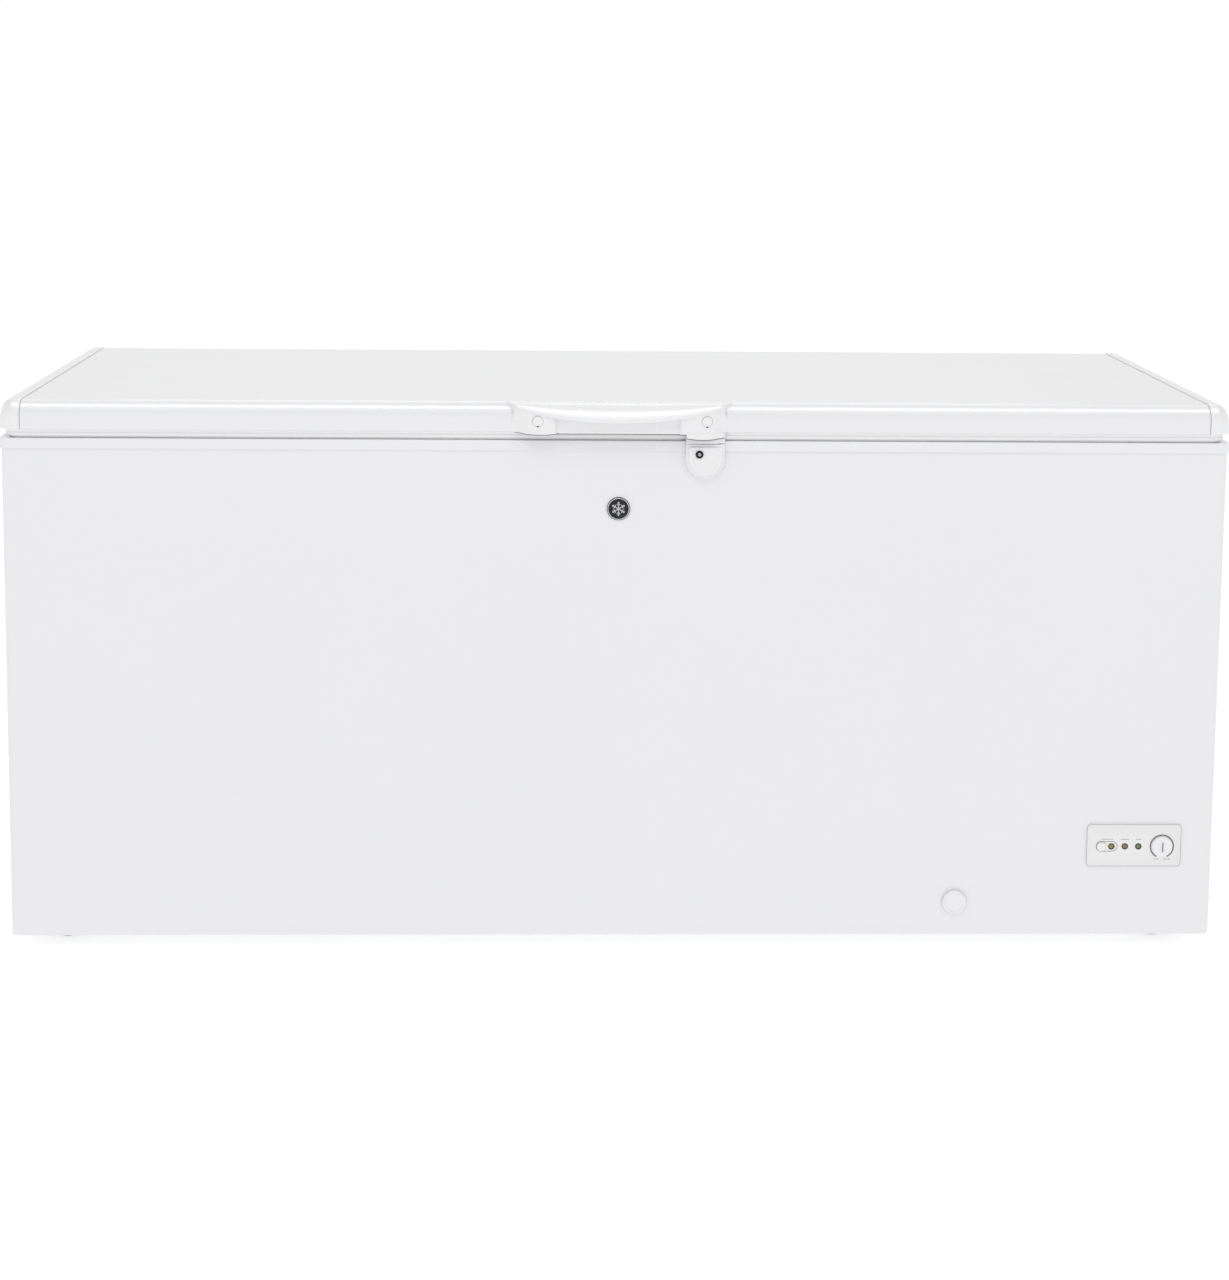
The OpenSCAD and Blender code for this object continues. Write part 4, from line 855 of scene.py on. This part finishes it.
def handle_section(x):
    """The handle's section at x as (y, z), with the same number of points at every x."""
    a = abs(x)
    t = min(1, a / HANDLE_TIP)
    wrap = min(1, max(0, (a - WRAP_START) / (HANDLE_TIP - WRAP_START)))
    edge_y = crescent_y(x) + 21 * wrap ** 2
    rear_y, rear_z = -319.0, 848.85
    drop = 20.6 * (1 - t ** 2.2) + 0.6
    lip = 2.2 * (1 - t ** 3) + 1.0
    slope = radians(VISOR_SLOPE)
    round_top, round_low = 2.4 * (1 - 0.6 * wrap), 1.5 * (1 - 0.7 * wrap)
    end_y = edge_y + round_top * (1 - sin(slope))
    reach = min(drop * sin(slope) / (1 - cos(slope)), 0.97 * (rear_y - end_y))
    points = [(rear_y + 1.0, 848.0), (rear_y + 0.5, rear_z - 0.15), (rear_y, rear_z)]
    for i in range(14):
        b = slope * i / 13
        points.append((end_y + reach * (1 - sin(b) / sin(slope)),
                       rear_z - drop * (1 - cos(b)) / (1 - cos(slope))))
    centre_y, centre_z = end_y + round_top * sin(slope), rear_z - drop - round_top * cos(slope)
    for k in range(1, 5):
        b = slope + (pi / 2 - slope) * k / 4
        points.append((centre_y - round_top * sin(b), centre_z + round_top * cos(b)))
    low_z = centre_z - lip
    for k in range(4):
        b = radians(30 * k)
        points.append((edge_y + round_low * (1 - cos(b)), low_z + round_low * (1 - sin(b))))
    horn = a > FOOT_END
    base = foot_base(x)
    if horn:
        base += (low_z - 1.0 - base) * sqrt((a - FOOT_END) / (HANDLE_TIP - FOOT_END))
    foot = foot_face(x)
    top_face = max(foot, edge_y + round_low + 0.4)
    gap = top_face - (edge_y + round_low)
    fillet = min(2.2, 0.45 * gap)
    under_z = low_z + 0.04 * gap
    points.append((top_face - fillet, under_z))
    for k in range(1, 4):
        b = radians(30 * k)
        points.append((top_face - fillet * (1 - sin(b)), under_z - fillet * (1 - cos(b))))
    start_z = under_z - fillet
    corner = min(2.2, 0.3 * (start_z - base), 0.8 * max(0.3, LID_FACE - foot))
    for k in range(1, 9):
        z = start_z + (base + corner - start_z) * k / 8
        wall = lid_surface(z) - 0.5 - 0.3 * (1 - (a - FOOT_END) / 8.5) if horn else foot
        wall = min(wall, lid_surface(z) - 0.25)
        points.append((top_face + (wall - top_face) * smooth(k / 5), z))
    low_y = points[-1][0]
    for k in range(1, 5):
        b = radians(22.5 * k)
        y = low_y + corner * (1 - cos(b))
        points.append((min(y, lid_surface(base) - 0.05), base + corner * (1 - sin(b))))
    # Back along the lid's front face, 0.15 mm inside it. way is measured upward from the lid's shoulder.
    way = base - LID_SHOULDER
    if way >= 0:
        way = LID_ROUND * asin(min(1, way / LID_ROUND))
    full, inner_r = LID_ROUND * pi / 2, LID_ROUND - 0.15
    for k in range(10):
        s = way + (full - way) * k / 9
        b = max(0, s) / LID_ROUND
        points.append((LID_FACE + LID_ROUND - inner_r * cos(b), LID_SHOULDER + min(0, s) + inner_r * sin(b)))
    return points


def facing_foot(x):
    """Places points on the face of the handle's lower part, at the height of its screw caps."""
    return lambda u, v, w: Vector((x + u, foot_face(x + u) - w, 823.5 + v))


def handle():
    xs = {0.0}
    for low, count, step in ((0, 10, 8), (80, 16, 1.25), (100, 13, 4), (152, 8, 1.0), (160, 10, 0.25),
                             (162.5, 11, 0.75)):
        xs |= {sign * (low + step * i) for i in range(count) for sign in (-1, 1)}
    bm = made(skin, [at_x(x, handle_section(x)) for x in sorted(xs)])
    notch = made(block, 100.2, 159.0, -380, -340, 790, 806)
    piece("handle_visor", combined(bm, notch), "white_plastic", "lid", "handle", sharp=40)
    caps, painted_gaps = bmesh.new(), bmesh.new()
    for x in (-122, 131):
        place = facing_foot(x)
        lathe(caps, [(7.9, -3), (7.9, 0.05), (7.75, 0.22), (7.3, 0.3), (5, 0.32), (3, 0.33), (1, 0.33)],
              place, 56)
        # Black pieces painted on the handle stand for shade: a ring in the seam round each screw cap, and a
        # notch below it.
        prism(painted_gaps, rounded_rect(-1.5, 1.5, -8.6, -6.6, 0.9, 5), -2, 0.4, place)
        lathe(painted_gaps, [(7.85, -2), (7.85, 0.1), (8.15, 0.1), (8.15, -2)], place, 56, ring=True)
    piece("handle_caps", caps, "white_plastic", "lid", "handle_screw_caps")
    piece("handle_painted_gaps", painted_gaps, "black_plastic", "lid")
    # A thin grey strip under the handle's lower edge is painted shadow, for the dark line where the handle
    # overhangs the seal.
    loops = []
    start, end, rear = -157.5, 99.8, -346.2
    for i in range(66):
        x = start + (end - start) * i / 65
        front, low = foot_face(x) + 0.9, foot_base(x) - 0.5
        loops.append(at_x(x, ((front, low), (front, low + 2.0), (rear, low + 2.0), (rear, low))))
    piece("handle_shadow_strip", made(skin, loops), "dial_grey", "lid")


def latch_tongue():
    x0, x1, y1, low, top = 100.35, 158.85, -340.6, 789.0, 805.9
    loops, shade = [], []
    xs = [x0, x0 + 0.3, x0 + 0.9, x0 + 2] + [x0 + 2 + (x1 - x0 - 4) * i / 16 for i in range(1, 16)]
    xs += [x1 - 2, x1 - 0.9, x1 - 0.3, x1]
    for x in xs:
        t = (x - LOCK_X) / ((x1 - x0) / 2)
        side = max(0, abs(t) - 0.93) / 0.07
        face = min(foot_face(x), -348.5) + 0.9 * side ** 2
        drop = low + 6.6 + 2.4 * t * t + 0.9 * side ** 2
        points = [(y1, top), (face, top), (face, (top + drop + 4) / 2), (face, drop + 4)]
        points += [(face + 3.0 * i, drop + 4 * d) for i, d in edge_steps(1, 8)[1:]]
        rear = max(face + 3.6, -349.6)
        points += [(rear, drop), (rear + 0.4, drop - 0.5), (rear + 0.4, low + 0.8), (rear + 1.2, low),
                   (y1 - 1, low), (y1, low + 1)]
        loops.append(at_x(x, points))
        # shade collects a thin grey strip under the tongue's lower edge: painted shadow for the dark line
        # beneath it.
        if x0 + 0.5 < x < x1 - 0.5:
            near, far, under = face + 1.3, rear - 0.3, drop - 0.5
            shade.append(at_x(x, ((near, under), (near, under + 2), (far, under + 2), (far, under))))
    bm = made(skin, loops)
    for start, end, floor in ((-4.2, 21, 780), (-13, -3, 791.2)):
        bm = combined(bm, made(block, KEY_X + start, KEY_X + end, -347.2, -330, floor, 799))
    piece("latch_tongue", bm, "white_plastic", "lid", "latch_striker")
    piece("tongue_shadow_strip", made(skin, shade), "dial_grey", "lid")


# Baskets ----------------
BASKET_X, BASKET_Y, RIM_Z = 636.0, 8.0, 769.4
BASKET_W, BASKET_D, BASKET_DROP = 380.0, 504.0, 190.0
WIRE, RIM, BEND = 1.8, 2.6, 14.0


def basket(side, name):
    bm = bmesh.new()
    lift = 2 * WIRE - 0.4

    def at(x, y, z):
        return (side * BASKET_X + x, BASKET_Y + y, RIM_Z + z)

    def ring(width, depth, z, r):
        corners = [at(sx * width / 2, sy * depth / 2, z) for sx, sy in ((1, 1), (-1, 1), (-1, -1), (1, -1))]
        tube(bm, rounded_path(corners, BEND, closed=True), r, closed=True)

    hoop = ((-1, 0), (-1, 1), (1, 1), (1, 0))
    for i in range(7):
        x = (i - 3) * BASKET_W / 7.4
        path = [at(x, s * BASKET_D / 2, -down * BASKET_DROP) for s, down in hoop]
        tube(bm, rounded_path(path, BEND), WIRE)
    for i in range(9):
        y = (i - 4) * BASKET_D / 9.4
        path = [at(s * BASKET_W / 2, y, down * (lift - BASKET_DROP)) for s, down in hoop]
        tube(bm, rounded_path(path, BEND), WIRE)
    for z in (-125, -65):
        ring(BASKET_W + 2 * lift, BASKET_D + 2 * lift, z, WIRE)
    ring(BASKET_W, BASKET_D, 0, RIM)
    rail = BASKET_D / 2 + 7.5
    for s in (-1, 1):
        reach = BASKET_W / 2 - 30.6
        tube(bm, [at(-reach, s * rail, 0), at(reach, s * rail, 0)], RIM, 12)
        for k in (-1, 0, 1):
            x = k * (BASKET_W / 2 - 50)
            tube(bm, [at(x, s * (BASKET_D / 2 + 0.5), 0), at(x, s * (rail - 0.5), 0)], WIRE)
    piece("wire_basket_" + name, bm, "wire_white", name + "_basket", "basket_" + name, sharp=60)

    grips = bmesh.new()
    for s in (-1, 1):
        loops = []
        for k in range(15):
            v = -45 + 90 * k / 14
            end = 1 - 0.28 * max(0, (abs(v) - 41) / 4) ** 2
            rib = 0.35 * (0.5 + 0.5 * cos(pi * k)) if abs(v) < 38 else 0
            outline = arc(0, 0, 6.6 * end + rib, 3, 174, 16) + arc(0, 0, 2.85, 177, -174, 16)
            loops.append([at(s * BASKET_W / 2 + u, v, w) for u, w in outline])
        skin(grips, loops)
    piece("basket_sleeves_" + name, grips, "grip_plastic", name + "_basket", "basket_grips_" + name)


# CAD nodes that keep their shape ----------------
KEPT = {
    "galvanised": ("back_panel", "rear_cover", "hinge_bases", "hinge_leaves", "lock_cam"),
    "zinc_screws": ("cover_screws", "hinge_screws", "lid_hinge_screws", "handle_screws", "compressor_bolts",
                    "hinge_pins", "spring_plungers"),
    "black_steel": ("compressor", "condenser_coil", "hinge_springs"),
    "copper": ("refrigerant_tubes", "filter_drier", "evaporator_coil"),
    "foam": ("foam_insulation",),
    "rubber_black": ("compressor_grommets",),
    "black_plastic": ("relay_cover", "cord_gland"),
    "white_steel": ("side_grille",),
    "board_green": ("control_board",),
    "white_plastic": ("control_housing", "thermostat", "drain_outlet", "drain_tube"),
}
ROUNDED = {"rear_cover": 0.5, "side_grille": 0.5, "hinge_bases": 0.35, "hinge_leaves": 0.35,
           "relay_cover": 1.2, "control_housing": 0.6, "thermostat": 0.5, "lock_cam": 0.25, "cord_gland": 0.4}


def finish_kept_nodes():
    for slot, names in KEPT.items():
        for name in names:
            obj = nodes[name]
            obj.data.materials.clear()
            obj.data.materials.append(FINISHES[slot])
            if name in ROUNDED:
                soften(obj, ROUNDED[name])


# Stage ----------------
def stage():
    n = Nodes("floor")
    drift = n.spread(n.noise(1.3, 3), 0, 1)
    n.join(n.blend(drift, (0.4, 0.4, 0.4), (0.42, 0.42, 0.42)), n.shader.inputs["Base Color"])
    n.set(Roughness=0.9, Emission_Color=(1, 1, 1, 1), Emission_Strength=0.76, Specular_IOR_Level=0.1)
    outline = rounded_rect(-40000, 40000, -9000, 60000, 500)
    mesh = mesh_of(made(prism, outline, -0.1, 0, facing_up(0, 0, -0.05)))
    mesh.transform(Matrix.Scale(MM, 4))
    floor = bpy.data.objects.new("floor", mesh)
    mesh.materials.append(n.material)
    bpy.context.scene.collection.objects.link(floor)

    world = bpy.data.worlds.new("studio")
    world.use_nodes = True
    bpy.context.scene.world = world
    tree = world.node_tree
    background = tree.nodes["Background"]
    place = tree.nodes.new("ShaderNodeTexCoord")
    parts = tree.nodes.new("ShaderNodeSeparateXYZ")
    ramp = tree.nodes.new("ShaderNodeMapRange")
    for key, value in (("From Min", 0.02), ("From Max", 0.75), ("To Min", 1.02), ("To Max", 0.7)):
        ramp.inputs[key].default_value = value
    tree.links.new(place.outputs["Generated"], parts.inputs[0])
    tree.links.new(parts.outputs["Z"], ramp.inputs["Value"])
    tree.links.new(ramp.outputs["Result"], background.inputs["Strength"])
    background.inputs["Color"].default_value = (1, 1, 1, 1)

    for name, place, target, size, watts, shines_only in (
            ("softbox_top", (0, -2.35, 3.75), (0, -0.33, 0.84), (4.0, 1.0), 20, False),
            ("softbox_rear", (0, 3.4, 2.6), (0, 0.3, 0.5), (3.0, 1.2), 10, False),
            ("highlight_strip", (0, -0.82, 3.75), (0, -0.33, 0.84), (5.0, 1.3), 108, True),
            ("reflected_panel", (0, 2.4, 4.0), (0, 2.4, 0), (6.0, 6.0), 136, True)):
        light = bpy.data.objects.new(name, bpy.data.lights.new(name, "AREA"))
        light.data.shape = "RECTANGLE"
        light.data.size, light.data.size_y = size
        light.data.energy = watts
        light.location = place
        light.visible_diffuse = not shines_only
        light.rotation_euler = (Vector(target) - Vector(place)).to_track_quat("-Z", "Y").to_euler()
        bpy.context.scene.collection.objects.link(light)
    bpy.context.scene.view_settings.view_transform = "Standard"


outer_wrapper()
collar()
liner()
underside()
feet()
control_panel()
lock()
badge()
drain()
lid_skin()
lid_caps()
lid_underside()
gasket()
handle()
latch_tongue()
basket(-1, "left")
basket(1, "right")
finish_kept_nodes()
stage()
